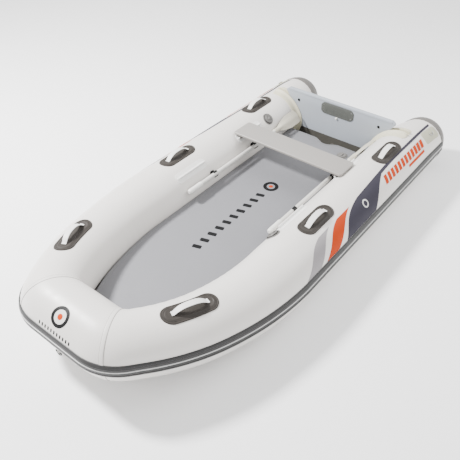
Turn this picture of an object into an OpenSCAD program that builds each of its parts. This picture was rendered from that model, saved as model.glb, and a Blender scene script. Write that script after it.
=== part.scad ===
// Roll-up inflatable dinghy with an air deck, a plywood transom, a bench seat and two oars.
// Millimetres. +X to the bow, +Y to port, +Z up. Origin at the bottom centre of the bounding box.
// Stations along the boat are measured from the aft end of the stern caps.

/* [Hull] */
// Length over all
hull_length = 3300; // [3290:10:3310]
// Diameter of the side tubes along their straight stretch
tube_d = 420; // [416:1:424]
// Diameter of the bow tube
nose_d = 352; // [348:1:356]
// Distance of each side tube's centre line from the middle of the boat
tube_y = 560; // [556:1:564]
// Station where the side tubes start to curve in
straight_end = 2100; // [2080:5:2110]
// Radius of the first, gentle bend in plan
bend_r1 = 2070; // [2050:10:2100]
// Heading at the end of the first bend, degrees
bend_a1 = 15.5; // [15:0.1:16]
// Radius of the second bend in plan
bend_r2 = 1227; // [1220:1:1235]
// Heading at the mitre with the bow tube, degrees
bend_a2 = 35; // [34:0.5:36]
// How far the bow tube's centre is raised
bow_rise = 110; // [105:1:115]
// How far the rounding of the bow's corners reaches along the tubes
corner_soft = 155; // [120:5:170]
// Depth of each stern cap
cap_depth = 163; // [158:1:168]
// How much the tubes' radius narrows towards the stern caps
stern_taper = 24; // [20:1:28]

/* [Rub strake] */
// Lower edge, degrees above the tube's widest point
strake_low = -6; // [-7:0.5:-5]
// Upper edge, degrees above the tube's widest point
strake_high = 18; // [17:0.5:19]
// Thickness of the strake
strake_t = 10; // [8:1:10]

/* [Deck] */
// Height of the deck's top face
deck_top = 203; // [200:1:206]
// Thickness of the drop-stitch deck
deck_t = 75; // [70:1:75]
// Station of the deck's aft edge
deck_aft = 605; // [600:1:610]
// Station of the deck's fore edge
deck_fore = 2930; // [2900:5:2930]
// Depth of the notch in the aft edge
notch_depth = 45; // [30:1:50]

/* [Transom] */
// Station of the transom's front face
transom_x = 490; // [485:1:495]
// Thickness of the transom board
transom_t = 28; // [26:1:30]
// Height of the transom's top edge
transom_top = 484; // [480:1:490]
// Half width of the transom at its top corners
transom_half = 487; // [480:1:490]
// Width of the motor pads
pad_w = 290; // [280:5:300]
// Height of the motor pads
pad_h = 96; // [88:1:98]

/* [Seat] */
// Station of the seat's middle
seat_x = 1139; // [1134:1:1144]
// Fore-and-aft width of the seat
seat_w = 190; // [185:1:195]
// Length of the seat across the boat
seat_l = 920; // [910:2:924]
// Height of the seat's top face
seat_top = 418; // [417:1:420]
// Thickness of the seat
seat_t = 20; // [18:1:20]

/* [Handles] */
// Length of a handle pad
handle_l = 320; // [310:5:330]
// Width of a handle pad
handle_w = 124; // [118:2:130]
// Height of a strap's arch above its pad
strap_h = 36; // [34:1:40]
// Width of a strap
strap_w = 32; // [30:1:36]

/* [Oars] */
// Station of the grip's fore end
oar_fore = 1889; // [1880:1:1895]
// Length of an oar
oar_l = 1354; // [1340:1:1360]
// Diameter of the shaft
oar_d = 30; // [28:1:30]
// Width of the blade
blade_w = 112; // [105:1:116]

/* [Hidden] */

// Colours
hull_white = [0.91, 0.90, 0.88];
pad_grey = [0.40, 0.37, 0.36];
strap_white = [0.95, 0.95, 0.94];
strake_grey = [0.30, 0.30, 0.30];
cap_grey = [0.50, 0.48, 0.46];
deck_grey = [0.70, 0.70, 0.71];
seat_grey = [0.76, 0.75, 0.73];
board_blue = [0.75, 0.76, 0.79];
olive_grey = [0.46, 0.47, 0.45];
holder_cream = [0.90, 0.88, 0.80];
black = [0.06, 0.06, 0.06];
steel = [0.78, 0.79, 0.80];

// Small constants
gap = 0.3;          // clearance under anything that lies on a tube
run = 0.4;          // running clearance between moving parts
fabric = 3;         // thickness of the bottom skin and the seal strip
tube_sides = 36;
$fn = 48;

// Derived sizes
tube_r = tube_d / 2;
nose_r = nose_d / 2;
strake_mid = (strake_low + strake_high) / 2;
nose_x = hull_length - (nose_r + strake_t) * cos(strake_mid);
bend_x1 = straight_end + bend_r1 * sin(bend_a1);
bend_y1 = tube_y - bend_r1 * (1 - cos(bend_a1));
bend_x2 = bend_x1 + bend_r2 * (sin(bend_a2) - sin(bend_a1));
bend_y2 = bend_y1 - bend_r2 * (cos(bend_a1) - cos(bend_a2));
corner_y = bend_y2 - (nose_x - bend_x2) * tan(bend_a2);
mitre = tan((90 - bend_a2) / 2);
nose_z = tube_r + bow_rise;
taper_start = 400;
transom_back = transom_x - transom_t;
holder_r = tube_r + 6;
rib_h = 18;         // height of the holders' ribs
handle_stations = [2756, 1735, 788];
handle_angle = 86;
rail_angle = 131;
rail_stations = [1092, 1764];
rail_l = 285;
rail_lift = 15;
rail_bead_r = 6;
oar_angle = 160;
oar_lift = 27.5;
clip_stations = [1605, 1123];
ring_station = 270;
ring_angle = 54;
ring_lift = 7;
ring_major = 22;
ring_minor = 3;
bow_ring_angle = -24;
valve_angle = 132;
port_valve_x = 1966;
starboard_valve_x = 843;
deck_valve_at = [717, 203];
drain_z = 96;

// ---- The tubes' centre line, as functions of the station s ----
// The tubes' outer side stays straight as they narrow aft, so the centre line moves out
function taper(s) = s >= taper_start ? 0
    : stern_taper * pow((taper_start - s) / (taper_start - cap_depth), 1.5);
function heading(s) = s <= straight_end ? 0
    : s <= bend_x1 ? asin((s - straight_end) / bend_r1)
    : s <= bend_x2 ? asin(sin(bend_a1) + (s - bend_x1) / bend_r2)
    : bend_a2;
function line_y(s) = s <= straight_end ? tube_y + taper(s)
    : s <= bend_x1 ? tube_y - bend_r1 * (1 - cos(heading(s)))
    : s <= bend_x2 ? bend_y1 - bend_r2 * (cos(bend_a1) - cos(heading(s)))
    : bend_y2 - (s - bend_x2) * tan(bend_a2);
function bow_part(s) = max(0, (s - straight_end) / (nose_x - straight_end));
function line_z(s) = tube_r + bow_rise * pow(bow_part(s), 2);
function radius(s) = tube_r - taper(s) + (nose_r - tube_r) * bow_part(s);

// A point on the port tube: station, degrees round the tube from its outer side, lift off the skin
function skin(s, a, lift) = let(h = heading(s), r = radius(s) + lift)
    [s - hull_length / 2 + r * cos(a) * sin(h), line_y(s) + r * cos(a) * cos(h),
     line_z(s) + r * sin(a)];
// A point on the mitre plane between the side tube and the bow tube
function mitre_skin(a, lift) = let(r = nose_r + lift)
    [nose_x - hull_length / 2 + r * cos(a), corner_y + r * cos(a) * mitre, nose_z + r * sin(a)];
function to_starboard(p) = [p[0], -p[1], p[2]];

// The bow's corners are rounded: most on their outer side, hardly at all on the inner one
corner_tight = 6;
corner_steps = [0, 0.25, 0.5, 0.75, 1];
function corner_reach(a) = corner_tight + corner_soft * (1 + cos(a)) / 2;
// A point near the mitre, w past it towards the middle of the bow
function bow_corner(a, lift, w) = let(
        tip = mitre_skin(a, lift), aft = skin(bend_x2, a, lift) - tip, back = aft / norm(aft),
        inward = [0, -1, 0], reach = corner_reach(a), t = 0.5 + 0.5 * w / reach)
    w >= reach ? tip + inward * w
    : w <= -reach ? tip - back * w
    : tip + back * reach * pow(1 - t, 2) + inward * reach * pow(t, 2);
// The same point at the mitre itself, laid exactly in the mitre plane
function mitre_edge(a) = let(p = bow_corner(a, 0, 0))
    [p[0], corner_y + (p[0] - nose_x + hull_length / 2) * mitre, p[2]];

// ---- Lofts ----
function wall_faces(rings, n) = [
    for (i = [0 : rings - 2]) for (j = [0 : n - 1])
        let(k = (j + 1) % n) each [
            [i * n + j, (i + 1) * n + j, (i + 1) * n + k],
            [i * n + j, (i + 1) * n + k, i * n + k]]];
module loft(rings) {
    n = len(rings[0]);
    m = len(rings);
    polyhedron(points = [for (r = rings) each r],
        faces = concat(wall_faces(m, n),
            [[for (j = [0 : n - 1]) j]],
            [[for (j = [n - 1 : -1 : 0]) (m - 1) * n + j]]));
}
module starboard() { mirror([0, 1, 0]) children(); }
function spread(a, b, n) = [for (i = [0 : n]) a + (b - a) * i / n];

// Stations of a side tube's rings, closer together round the bends
tube_stations = concat(spread(cap_depth, taper_start, 4), spread(900, straight_end, 3),
    [for (i = [1 : 5]) straight_end + bend_r1 * sin(bend_a1 * i / 5)],
    [for (i = [1 : 6]) bend_x1 + bend_r2 * (sin(bend_a1 + (bend_a2 - bend_a1) * i / 6)
        - sin(bend_a1))]);

// Places its children on the port tube's skin: local +Z is the outward normal, +X to the bow
module on_tube(s, a, lift = 0) {
    p = skin(s, a, lift);
    translate(p) rotate([a - 90, 0, 0]) children();
}

// ---- Hull ----
module side_tube() {
    angles = [for (i = [0 : tube_sides - 1]) i * 360 / tube_sides];
    loft(concat([for (s = tube_stations) [for (a = angles) skin(s, a, 0)]],
        [for (i = [4 : -1 : 1])
            [for (a = angles) bow_corner(a, 0, -corner_steps[i] * corner_reach(a))]],
        [[for (a = angles) mitre_edge(a)]]));
}
module port_tube() { color(hull_white) side_tube(); }
module starboard_tube() { color(hull_white) starboard() side_tube(); }
mitre_gap = 0.2;
module bow_tube() {
    angles = [for (i = [0 : tube_sides - 1]) i * 360 / tube_sides];
    face = [for (a = angles) mitre_edge(a) - [0, mitre_gap, 0]];
    corner = concat([face], [for (i = [1 : 4])
        [for (a = angles) bow_corner(a, 0, corner_steps[i] * corner_reach(a))]]);
    color(hull_white) loft(concat(corner,
        [for (i = [4 : -1 : 0]) [for (p = corner[i]) to_starboard(p)]]));
}
// Tape welded over the mitre, left open where the strake covers it
tape_half = 14;
tape_t = 1.5;
tape_lift = 3 * gap;
function tape_ring(a) = concat(
    [for (w = [-tape_half, 0, tape_half]) bow_corner(a, tape_lift, w)],
    [for (w = [tape_half, 0, -tape_half]) bow_corner(a, tape_lift + tape_t, w)]);
module bow_seam() { loft([for (a = [20 : 10 : 350]) tape_ring(a)]); }
module port_bow_seam() { color(hull_white) bow_seam(); }
module starboard_bow_seam() { color(hull_white) starboard() bow_seam(); }

// A blunt cone: radius at a depth in from its aft end, as a quarter ellipse that stops short
module stern_cap() {
    tip_r = 76;
    rim_r = radius(cap_depth);
    profile = concat([[0, 0]],
        [for (i = [0 : 10]) let(q = 90 * i / 10)
            [tip_r + (rim_r - tip_r) * sin(q), (cap_depth - 1) * (1 - cos(q))]],
        [[0, cap_depth - 1]]);
    translate([-hull_length / 2, line_y(cap_depth), tube_r]) rotate([0, 90, 0])
        rotate_extrude($fn = 64) polygon(profile);
}
module port_stern_cap() { color(cap_grey) stern_cap(); }
module starboard_stern_cap() { color(cap_grey) starboard() stern_cap(); }

// The strake runs in one length from the port quarter round the bow to the starboard quarter
strake_start = cap_depth + 8;
strake_stations = [for (s = tube_stations) max(s, strake_start)];
function sweep_round(profile) = let(
        port = [for (s = strake_stations) [for (p = profile) skin(s, p[0], p[1])]],
        corner = [for (k = [-4 : 4])
            [for (p = profile) bow_corner(p[0], p[1], k / 4 * corner_reach(p[0]))]],
        half = concat(port, corner), last = len(half) - 1)
    concat(half, [for (i = [0 : last]) [for (p = half[last - i]) to_starboard(p)]]);
// Its inner face bends where the tubes' facets do, at 0 and 10 degrees
module rub_strake() {
    wall = strake_t - 3;
    color(strake_grey) loft(sweep_round([
        [strake_low, gap], [strake_low + 0.8, wall - 3], [strake_low + 3, wall],
        [strake_mid - 1.6, wall], [strake_mid - 1.4, wall - 3], [strake_mid + 1.4, wall - 3],
        [strake_mid + 1.6, wall], [strake_high - 3, wall], [strake_high - 0.8, wall - 3],
        [strake_high, gap], [10, gap], [0, gap]]));
}
module rub_strake_line() {
    wall = strake_t - 3;
    color(hull_white) loft(sweep_round([
        [strake_mid - 1.1, wall - 2.7], [strake_mid - 1.1, strake_t - 1],
        [strake_mid, strake_t], [strake_mid + 1.1, strake_t - 1],
        [strake_mid + 1.1, wall - 2.7]]));
}

// Bottom skin: welded under the tubes and drawn down to the keel
skin_angle = 250;
function keel_z(s) = gap + 2.7 + 136 * pow(bow_part(s) * 1.05, 2);
module bottom_skin() {
    first = transom_back;
    last = 3040;
    color(hull_white) loft([for (s = spread(first, last, 22)) let(
        edge = skin(s, skin_angle, 4), mid = [s - hull_length / 2, 0, keel_z(s)])
        [edge, mid, to_starboard(edge), to_starboard(edge) + [0, 0, fabric],
         mid + [0, 0, fabric], edge + [0, 0, fabric]]]);
}
module keel_tube() {
    keel_r = 43;
    aft = 560;
    fore = 2340;
    translate([-hull_length / 2, 0, deck_top - deck_t - keel_r - 1]) color(hull_white) {
        translate([aft, 0, 0]) rotate([0, 90, 0]) cylinder(r = keel_r, h = fore - aft);
        translate([fore, 0, 0]) sphere(r = keel_r);
    }
}

// ---- Deck ----
deck_gap = 4;
function deck_half(s) = line_y(s) - deck_gap
    - sqrt(pow(radius(s), 2) - pow(line_z(s) - deck_top, 2)) / cos(heading(s));
notch_half = 100;
function aft_edge(y) = deck_aft
    + (abs(y) < notch_half ? notch_depth * (1 + cos(180 * y / notch_half)) / 2 : 0);
module deck_outline() {
    side = [for (s = spread(deck_aft, deck_fore, 30)) [s, deck_half(s)]];
    polygon(concat([for (p = side) p],
        [for (i = [len(side) - 1 : -1 : 1]) [side[i][0], -side[i][1]]],
        [for (y = spread(-deck_half(deck_aft), -notch_half, 1)) [deck_aft, y]],
        [for (y = spread(-notch_half, notch_half, 12)) [aft_edge(y), y]]));
}
module air_deck() {
    color(deck_grey) translate([-hull_length / 2, 0, deck_top - deck_t]) difference() {
        linear_extrude(deck_t) deck_outline();
        translate([deck_valve_at[0], deck_valve_at[1], deck_t - 30]) cylinder(r = 30, h = 31);
    }
}
module at_deck_valve() {
    translate([deck_valve_at[0] - hull_length / 2, deck_valve_at[1], deck_top]) children();
}
module deck_valve_body() {
    color(cap_grey) at_deck_valve() difference() {
        union() {
            translate([0, 0, gap]) cylinder(r = 42, h = 4);
            translate([0, 0, -29]) cylinder(r = 29.5, h = 30);
        }
        translate([0, 0, -20]) cylinder(r = 24, h = 40);
    }
}
module deck_valve_cap() {
    color(cap_grey) at_deck_valve() {
        translate([0, 0, 4.7]) cylinder(r = 32, h = 5);
        translate([0, 0, -14]) cylinder(r = 23.5, h = 19);
        for (a = [0 : 30 : 330]) rotate(a) translate([27, -1.5, 9]) cube([4, 3, 2.5]);
        translate([-20, -4, 9]) cube([40, 8, 6]);
    }
}

// ---- Transom ----
drain_at = [0, drain_z];
eye_at = [360, 408];
pad_mid_z = 418;
pad_screw = [124, 26];
function pad_screws() = [for (y = [-1, 1]) for (z = [-1, 1])
    [y * pad_screw[0], pad_mid_z + z * pad_screw[1]]];

// Stands a drawing of the YZ plane at a station, with its thickness running aft
module upright(s, t) {
    translate([s - hull_length / 2 - t, 0, 0]) rotate([90, 0, 90]) linear_extrude(t) children();
}
module transom_outline() {
    chamfer = 23;
    foot = 60;
    difference() {
        translate([0, tube_r]) polygon([[-transom_half, 0], [transom_half, 0],
            [transom_half, transom_top - tube_r - 14],
            [transom_half - chamfer, transom_top - tube_r],
            [chamfer - transom_half, transom_top - tube_r],
            [-transom_half, transom_top - tube_r - 14]]);
        for (y = [-tube_y, tube_y]) translate([y, tube_r]) circle(r = holder_r + 1, $fn = 96);
    }
    translate([-(tube_y - holder_r - 2), foot])
        square([2 * (tube_y - holder_r - 2), tube_r - foot + 0.01]);
}
module transom_board() {
    color(board_blue) upright(transom_x, transom_t) difference() {
        transom_outline();
        for (y = [-1, 1]) translate([y * eye_at[0], eye_at[1]]) circle(r = 4.1, $fn = 24);
        for (p = pad_screws()) translate(p) circle(r = 2.2, $fn = 16);
        translate(drain_at) circle(r = 18.2, $fn = 48);
    }
}
module transom_top_trim() {
    trim_half = transom_half - 26;
    color(board_blue) translate([transom_back - hull_length / 2 - 3.2, -trim_half, 0])
        difference() {
            translate([0, 0, transom_top - 14]) cube([transom_t + 6.4, 2 * trim_half, 17]);
            translate([3, -1, transom_top - 15])
                cube([transom_t + 0.4, 2 * trim_half + 2, 15.2]);
        }
}
module transom_seal_strip() {
    half = tube_y - tube_r - 10;
    half_up = tube_y - holder_r - rib_h - 1;
    high = 178;
    low = keel_z(transom_x) + fabric + 12;
    color(olive_grey) difference() {
        translate([transom_x - hull_length / 2 + gap, -half_up, low])
            cube([fabric, 2 * half_up, high - low]);
        translate([transom_x - hull_length / 2 - 1, drain_at[0], drain_at[1]])
            rotate([0, 90, 0]) cylinder(r = 29, h = 10);
    }
    color(olive_grey) translate([transom_x - hull_length / 2 + gap, -half, low])
        cube([100, 2 * half, fabric]);
}
// Flange that wraps the tube from its top round to its inner side, with a rib each side of
// the board
module transom_holder() {
    first = 82;
    last = 205;
    flange_w = 150;
    rib_w = 12;
    translate([transom_x - transom_t / 2 - hull_length / 2, tube_y, tube_r])
        rotate([0, 90, 0]) rotate([0, 0, 90 + first]) rotate_extrude(angle = last - first, $fn = 96)
            polygon([[tube_r + gap, -flange_w / 2], [tube_r + 2, -flange_w / 2],
                [holder_r, -flange_w / 2 + 24], [holder_r, -transom_t / 2 - rib_w - gap],
                [holder_r + rib_h, -transom_t / 2 - rib_w + 3 - gap],
                [holder_r + rib_h, -transom_t / 2 - gap], [holder_r, -transom_t / 2 - gap],
                [holder_r, transom_t / 2 + gap], [holder_r + rib_h, transom_t / 2 + gap],
                [holder_r + rib_h, transom_t / 2 + rib_w - 3 + gap],
                [holder_r, transom_t / 2 + rib_w + gap], [holder_r, flange_w / 2 - 24],
                [tube_r + 2, flange_w / 2], [tube_r + gap, flange_w / 2]]);
}
module port_transom_holder() { color(holder_cream) transom_holder(); }
module starboard_transom_holder() { color(holder_cream) starboard() transom_holder(); }

pad_t = 5;
screw_r = 2;
head_r = 5;
sunk = 2.8;         // depth of the screws' seats in the pads
module pad_outline() {
    cut = 20;
    w = pad_w / 2;
    h = pad_h / 2;
    translate([0, pad_mid_z]) polygon([[-w + cut, -h], [w - cut, -h], [w, -h + cut],
        [w, h - cut], [w - cut, h], [-w + cut, h], [-w, h - cut], [-w, -h + cut]]);
}
// A pad whose front face is at a station; its screws' seats are sunk in the side that faces out
module drilled_pad(s, seat_s) {
    difference() {
        upright(s, pad_t) pad_outline();
        upright(s + 1, pad_t + 2) for (p = pad_screws()) translate(p)
            circle(r = screw_r + 0.2, $fn = 24);
        upright(seat_s, sunk + 1) for (p = pad_screws()) translate(p)
            circle(r = head_r + 0.3, $fn = 32);
    }
}
pad_front = transom_x + pad_t + 0.1;
pad_back = transom_back - pad_t - 0.1;
module motor_pad_inner() { color(olive_grey) drilled_pad(pad_front, pad_front + 1); }
module motor_pad_outer() {
    color(olive_grey) drilled_pad(pad_back + pad_t, pad_back + sunk);
}
module motor_pad_screws() {
    color(steel) for (p = pad_screws()) translate([pad_back - hull_length / 2, p[0], p[1]])
        rotate([0, 90, 0]) {
            translate([0, 0, 0.4]) cylinder(r = screw_r, h = pad_front - pad_back - 0.8, $fn = 24);
            translate([0, 0, pad_front - pad_back - sunk + 0.3])
                cylinder(r1 = screw_r + 1, r2 = head_r, h = 2.2, $fn = 24);
            translate([0, 0, 0.3]) cylinder(r = 4.4, h = 2.2, $fn = 6);
        }
}
module lanyard_knob() {
    knob_r = 9;
    z = pad_mid_z - pad_h / 2 - knob_r - 1;
    color(strap_white) translate([transom_x + gap - hull_length / 2, 0, z])
        rotate([0, 90, 0]) {
            cylinder(r = knob_r, h = 3);
            cylinder(r = 4, h = 12);
            translate([0, 0, 9]) cylinder(r = knob_r - 1, h = 5);
        }
}
module transom_eye_bolts() {
    front = transom_x - hull_length / 2 + 0.1;
    color(black) for (y = [-1, 1]) translate([front, y * eye_at[0], eye_at[1]])
        rotate([0, 90, 0]) {
            cylinder(r = 11, h = 1.5);
            translate([0, 0, 1.4]) cylinder(r = 7.5, h = 6, $fn = 6);
            translate([0, 0, -transom_t - 3]) cylinder(r = 4, h = transom_t + 6);
            translate([0, 0, -transom_t - 2.2]) cylinder(r = 14, h = 2);
            translate([0, 0, -transom_t - 19]) rotate([0, 90, 0]) difference() {
                translate([0, 0, -4]) cylinder(r = 18, h = 8);
                translate([0, 0, -5]) cylinder(r = 10, h = 10);
            }
        }
}
module at_drain() {
    translate([transom_x - hull_length / 2, drain_at[0], drain_at[1]]) rotate([0, 90, 0])
        children();
}
module drain_valve_body() {
    color(cap_grey) at_drain() difference() {
        union() {
            translate([0, 0, gap]) cylinder(r = 28, h = 5);
            translate([0, 0, -transom_t]) cylinder(r = 18, h = transom_t + 1);
            translate([0, 0, -transom_t - 5 - gap]) cylinder(r = 26, h = 5);
            translate([0, 0, -transom_t - 1]) cylinder(r = 18, h = 2);
        }
        translate([0, 0, -transom_t - 6]) cylinder(r = 13, h = transom_t + 20);
    }
}
module drain_plug() {
    color(black) at_drain() translate([0, 0, -transom_t - 5 - gap]) {
        translate([0, 0, -6 - run]) cylinder(r = 22, h = 6);
        translate([0, 0, -1 - run]) cylinder(r = 13 - run, h = 22);
        translate([-4, -16, -16]) cube([8, 32, 10.5]);
    }
}

// ---- Seat ----
module seat_board() {
    corner = 18;
    color(seat_grey) translate([seat_x - hull_length / 2, 0, seat_top - seat_t])
        linear_extrude(seat_t) offset(r = corner, $fn = 32)
            square([seat_w - 2 * corner, seat_l - 2 * corner], center = true);
}
rail_mid = [tube_y, tube_r] + (tube_r + rail_lift) * [cos(rail_angle), sin(rail_angle)];
// A drawing in the YZ plane, run along the boat from a station
module along(s, l) {
    translate([s - hull_length / 2, 0, 0]) rotate([90, 0, 90]) linear_extrude(l) children();
}
module rail_profile() {
    stem = 5;
    translate([tube_y, tube_r]) rotate(rail_angle) {
        translate([tube_r + 2.4, -stem / 2]) square([rail_lift - 2.4, stem]);
        translate([tube_r + 2.4, -9]) square([2, 18]);
        translate([tube_r + rail_lift, 0]) circle(r = rail_bead_r);
    }
}
module seat_rails() {
    color(strap_white) for (s = rail_stations) {
        along(s - rail_l / 2, rail_l) rail_profile();
        starboard() along(s - rail_l / 2, rail_l) rail_profile();
    }
}
module slider_profile() {
    wall = 3.8;
    slot = 8;
    difference() {
        union() {
            translate(rail_mid) circle(r = rail_bead_r + run + wall);
            translate([rail_mid[0] - 20, rail_mid[1]])
                square([34, seat_top - seat_t - gap - rail_mid[1]]);
        }
        translate(rail_mid) circle(r = rail_bead_r + run);
        translate(rail_mid) rotate(rail_angle) translate([-30, -slot / 2]) square([30, slot]);
    }
}
module seat_sliders() {
    l = 170;
    color(pad_grey) {
        along(seat_x - l / 2, l) slider_profile();
        starboard() along(seat_x - l / 2, l) slider_profile();
    }
}

// A patch that follows the tube's skin: middle station and angle, length, width, thickness and
// the radius of its corners
function patch_side(d, l, w, corner) = let(
        over = max(0, abs(d) - (l / 2 - corner)))
    w / 2 - corner + sqrt(max(0.01, corner * corner - over * over));
module tube_patch(s, a, l, w, t, corner, lift = gap) {
    end = l / 2 - corner;
    steps = concat([for (q = [0 : 15 : 75]) -end - corner * cos(q)], spread(-end, end, 4),
        [for (q = [75 : -15 : 0]) end + corner * cos(q)]);
    per_mm = 180 / PI / tube_r;
    across = [-1, -0.6, -0.2, 0.2, 0.6, 1];
    loft([for (d = steps) let(h = max(0.5, patch_side(d, l, w, corner)))
        concat([for (v = across) skin(s + d * cos(heading(s)), a + v * h * per_mm, lift)],
            [for (i = [5 : -1 : 0])
                skin(s + d * cos(heading(s)), a + across[i] * h * per_mm, lift + t)])]);
}
module seat_rail_patches() {
    color(strap_white) for (s = rail_stations) {
        tube_patch(s, rail_angle, rail_l + 14, 74, 1.8, 30);
        starboard() tube_patch(s, rail_angle, rail_l + 14, 74, 1.8, 30);
    }
}

// ---- Handles ----
pad_thick = 4;
pad_lift = 3 * gap;
module handle_pads() {
    for (s = handle_stations)
        tube_patch(s, handle_angle, handle_l, handle_w, pad_thick, handle_w / 2, pad_lift);
}
module port_handle_pads() { color(pad_grey) handle_pads(); }
module starboard_handle_pads() { color(pad_grey) starboard() handle_pads(); }

// Strap: an arch between two flat feet that lie on the pad
module strap(s) {
    half = 105;
    foot = 12;
    t = 4;
    per_mm = 180 / PI / tube_r;
    w = strap_w / 2 * per_mm;
    function rise(d) = strap_h * max(0, 1 - pow(abs(d) / (half - foot), 2.6));
    loft([for (d = spread(-half, half, 20)) let(
        x = s + d * cos(heading(s)), low = pad_thick + pad_lift + gap + rise(d))
        [skin(x, handle_angle - w, low), skin(x, handle_angle, low),
         skin(x, handle_angle + w, low), skin(x, handle_angle + w, low + t),
         skin(x, handle_angle, low + t), skin(x, handle_angle - w, low + t)]]);
}
module port_strap_fore() { color(strap_white) strap(handle_stations[0]); }
module port_strap_mid() { color(strap_white) strap(handle_stations[1]); }
module port_strap_aft() { color(strap_white) strap(handle_stations[2]); }
module starboard_strap_fore() { color(strap_white) starboard() strap(handle_stations[0]); }
module starboard_strap_mid() { color(strap_white) starboard() strap(handle_stations[1]); }
module starboard_strap_aft() { color(strap_white) starboard() strap(handle_stations[2]); }

// ---- Tube valves ----
valve_r = 48;
module valve_body(s) {
    difference() {
        on_tube(s, valve_angle) difference() {
            union() {
                translate([0, 0, -8]) cylinder(r = valve_r, h = 14);
                cylinder(r = 36, h = 12);
            }
            translate([0, 0, 4]) cylinder(r = 27, h = 10);
        }
        translate([s - hull_length / 2 - 80, tube_y, tube_r]) rotate([0, 90, 0])
            cylinder(r = tube_r + gap, h = 160, $fn = 96);
    }
}
module valve_cap(s) {
    on_tube(s, valve_angle) {
        translate([0, 0, 4.5]) cylinder(r = 26, h = 9);
        translate([0, 0, 13]) cylinder(r = 20, h = 5);
        for (a = [0 : 45 : 315]) rotate(a) translate([19, -2, 13]) cube([5, 4, 4]);
    }
}
module port_valve_body() { color(cap_grey) valve_body(port_valve_x); }
module port_valve_cap() { color(cap_grey) valve_cap(port_valve_x); }
module starboard_valve_body() { color(cap_grey) starboard() valve_body(starboard_valve_x); }
module starboard_valve_cap() { color(cap_grey) starboard() valve_cap(starboard_valve_x); }

// ---- Oars ----
grip_l = 130;
blade_l = 330;
oar_aft = oar_fore - oar_l;
shaft_fore = oar_fore - grip_l + 40;
shaft_aft = oar_aft + blade_l - 60;
module oar_shaft() {
    on_tube(shaft_aft, oar_angle, oar_lift) rotate([0, 90, 0])
        cylinder(r = oar_d / 2, h = shaft_fore - shaft_aft);
}
module oar_grip() {
    on_tube(oar_fore - grip_l, oar_angle, oar_lift) rotate([0, 90, 0]) difference() {
        union() {
            cylinder(r = oar_d / 2 + 4, h = grip_l - 12);
            translate([0, 0, grip_l - 12.1]) cylinder(r1 = oar_d / 2 + 4, r2 = 12, h = 12.1);
        }
        translate([0, 0, -1]) cylinder(r = oar_d / 2 + 0.1, h = 41.2);
    }
}
// Blade: a flat leaf with a socket on the shaft, turned so that its face looks up
blade_turn = -25;
module oar_blade() {
    on_tube(oar_aft, oar_angle, oar_lift) difference() {
        union() {
            rotate([blade_turn, 0, 0]) translate([0, 0, -3]) linear_extrude(6) hull() {
                translate([26, 0]) square([52, blade_w - 30], center = true);
                translate([40, blade_w / 2 - 18]) circle(r = 18, $fn = 32);
                translate([40, 18 - blade_w / 2]) circle(r = 18, $fn = 32);
                translate([blade_l - 70, 0]) circle(r = 20, $fn = 32);
            }
            translate([blade_l - 110, 0, 0]) rotate([0, 90, 0])
                cylinder(r = oar_d / 2 + 3, h = 110);
            translate([blade_l - 210, 0, 0]) rotate([0, 90, 0])
                cylinder(r1 = 6, r2 = oar_d / 2 + 3, h = 100.1);
        }
        translate([blade_l - 60.2, 0, 0]) rotate([0, 90, 0])
            cylinder(r = oar_d / 2 + 0.1, h = 80);
    }
}
module port_oar_shaft() { color(strap_white) oar_shaft(); }
module port_oar_grip() { color(strap_white) oar_grip(); }
module port_oar_blade() { color(holder_cream) oar_blade(); }
module starboard_oar_shaft() { color(strap_white) starboard() oar_shaft(); }
module starboard_oar_grip() { color(strap_white) starboard() oar_grip(); }
module starboard_oar_blade() { color(holder_cream) starboard() oar_blade(); }

// Spring clip: a ring open away from the tube, on a foot
module oar_clip(s) {
    w = 34;
    wall = 6;
    inner = oar_d / 2 + run;
    mouth = 100;
    on_tube(s - w / 2, oar_angle) rotate([90, 0, 90]) linear_extrude(w) {
        difference() {
            translate([0, oar_lift]) circle(r = inner + wall, $fn = 64);
            translate([0, oar_lift]) circle(r = inner, $fn = 64);
            translate([0, oar_lift]) polygon([[0, 0], [60 * sin(mouth / 2), 60 * cos(mouth / 2)],
                [0, 60], [-60 * sin(mouth / 2), 60 * cos(mouth / 2)]]);
        }
        translate([-6, 4]) square([12, oar_lift - inner - 5]);
        translate([-20, gap]) square([40, 4]);
    }
}
module port_clip_fore() { color(black) oar_clip(clip_stations[0]); }
module port_clip_aft() { color(black) oar_clip(clip_stations[1]); }
module starboard_clip_fore() { color(black) starboard() oar_clip(clip_stations[0]); }
module starboard_clip_aft() { color(black) starboard() oar_clip(clip_stations[1]); }

// ---- Towing rings ----
// A half round ring on a straight bar that lies along local X; the ring is to local -Y
module dee_ring() {
    rotate([0, 0, 180]) rotate_extrude(angle = 180) translate([ring_major, 0])
        circle(r = ring_minor, $fn = 24);
    translate([-ring_major, 0, 0]) rotate([0, 90, 0])
        cylinder(r = ring_minor, h = 2 * ring_major, $fn = 24);
    for (x = [-ring_major, ring_major]) translate([x, 0, 0]) sphere(r = ring_minor, $fn = 24);
}
module ring_loop() {
    rotate([0, 90, 0]) difference() {
        cylinder(r = ring_minor + run + 2, h = 20, center = true);
        cylinder(r = ring_minor + run, h = 22, center = true, $fn = 24);
    }
}
module stern_ring_patch() {
    half = 100;
    first = 37;
    last = 65;
    mid = ring_station + 10;
    function base(d) = let(drift = taper(mid + d) - taper(ring_station))
        [tube_r + gap - taper(mid + d) + drift * cos(drift > 0 ? first : last), d];
    line = [for (d = spread(-half, half, 4)) base(d)];
    translate([mid - hull_length / 2, line_y(ring_station), tube_r])
        rotate([0, 90, 0]) rotate([0, 0, 90 + first]) rotate_extrude(angle = last - first, $fn = 96)
            polygon(concat(line, [for (i = [4 : -1 : 0]) line[i] + [1.6, 0]]));
    on_tube(ring_station, ring_angle, ring_lift) ring_loop();
}
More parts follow.
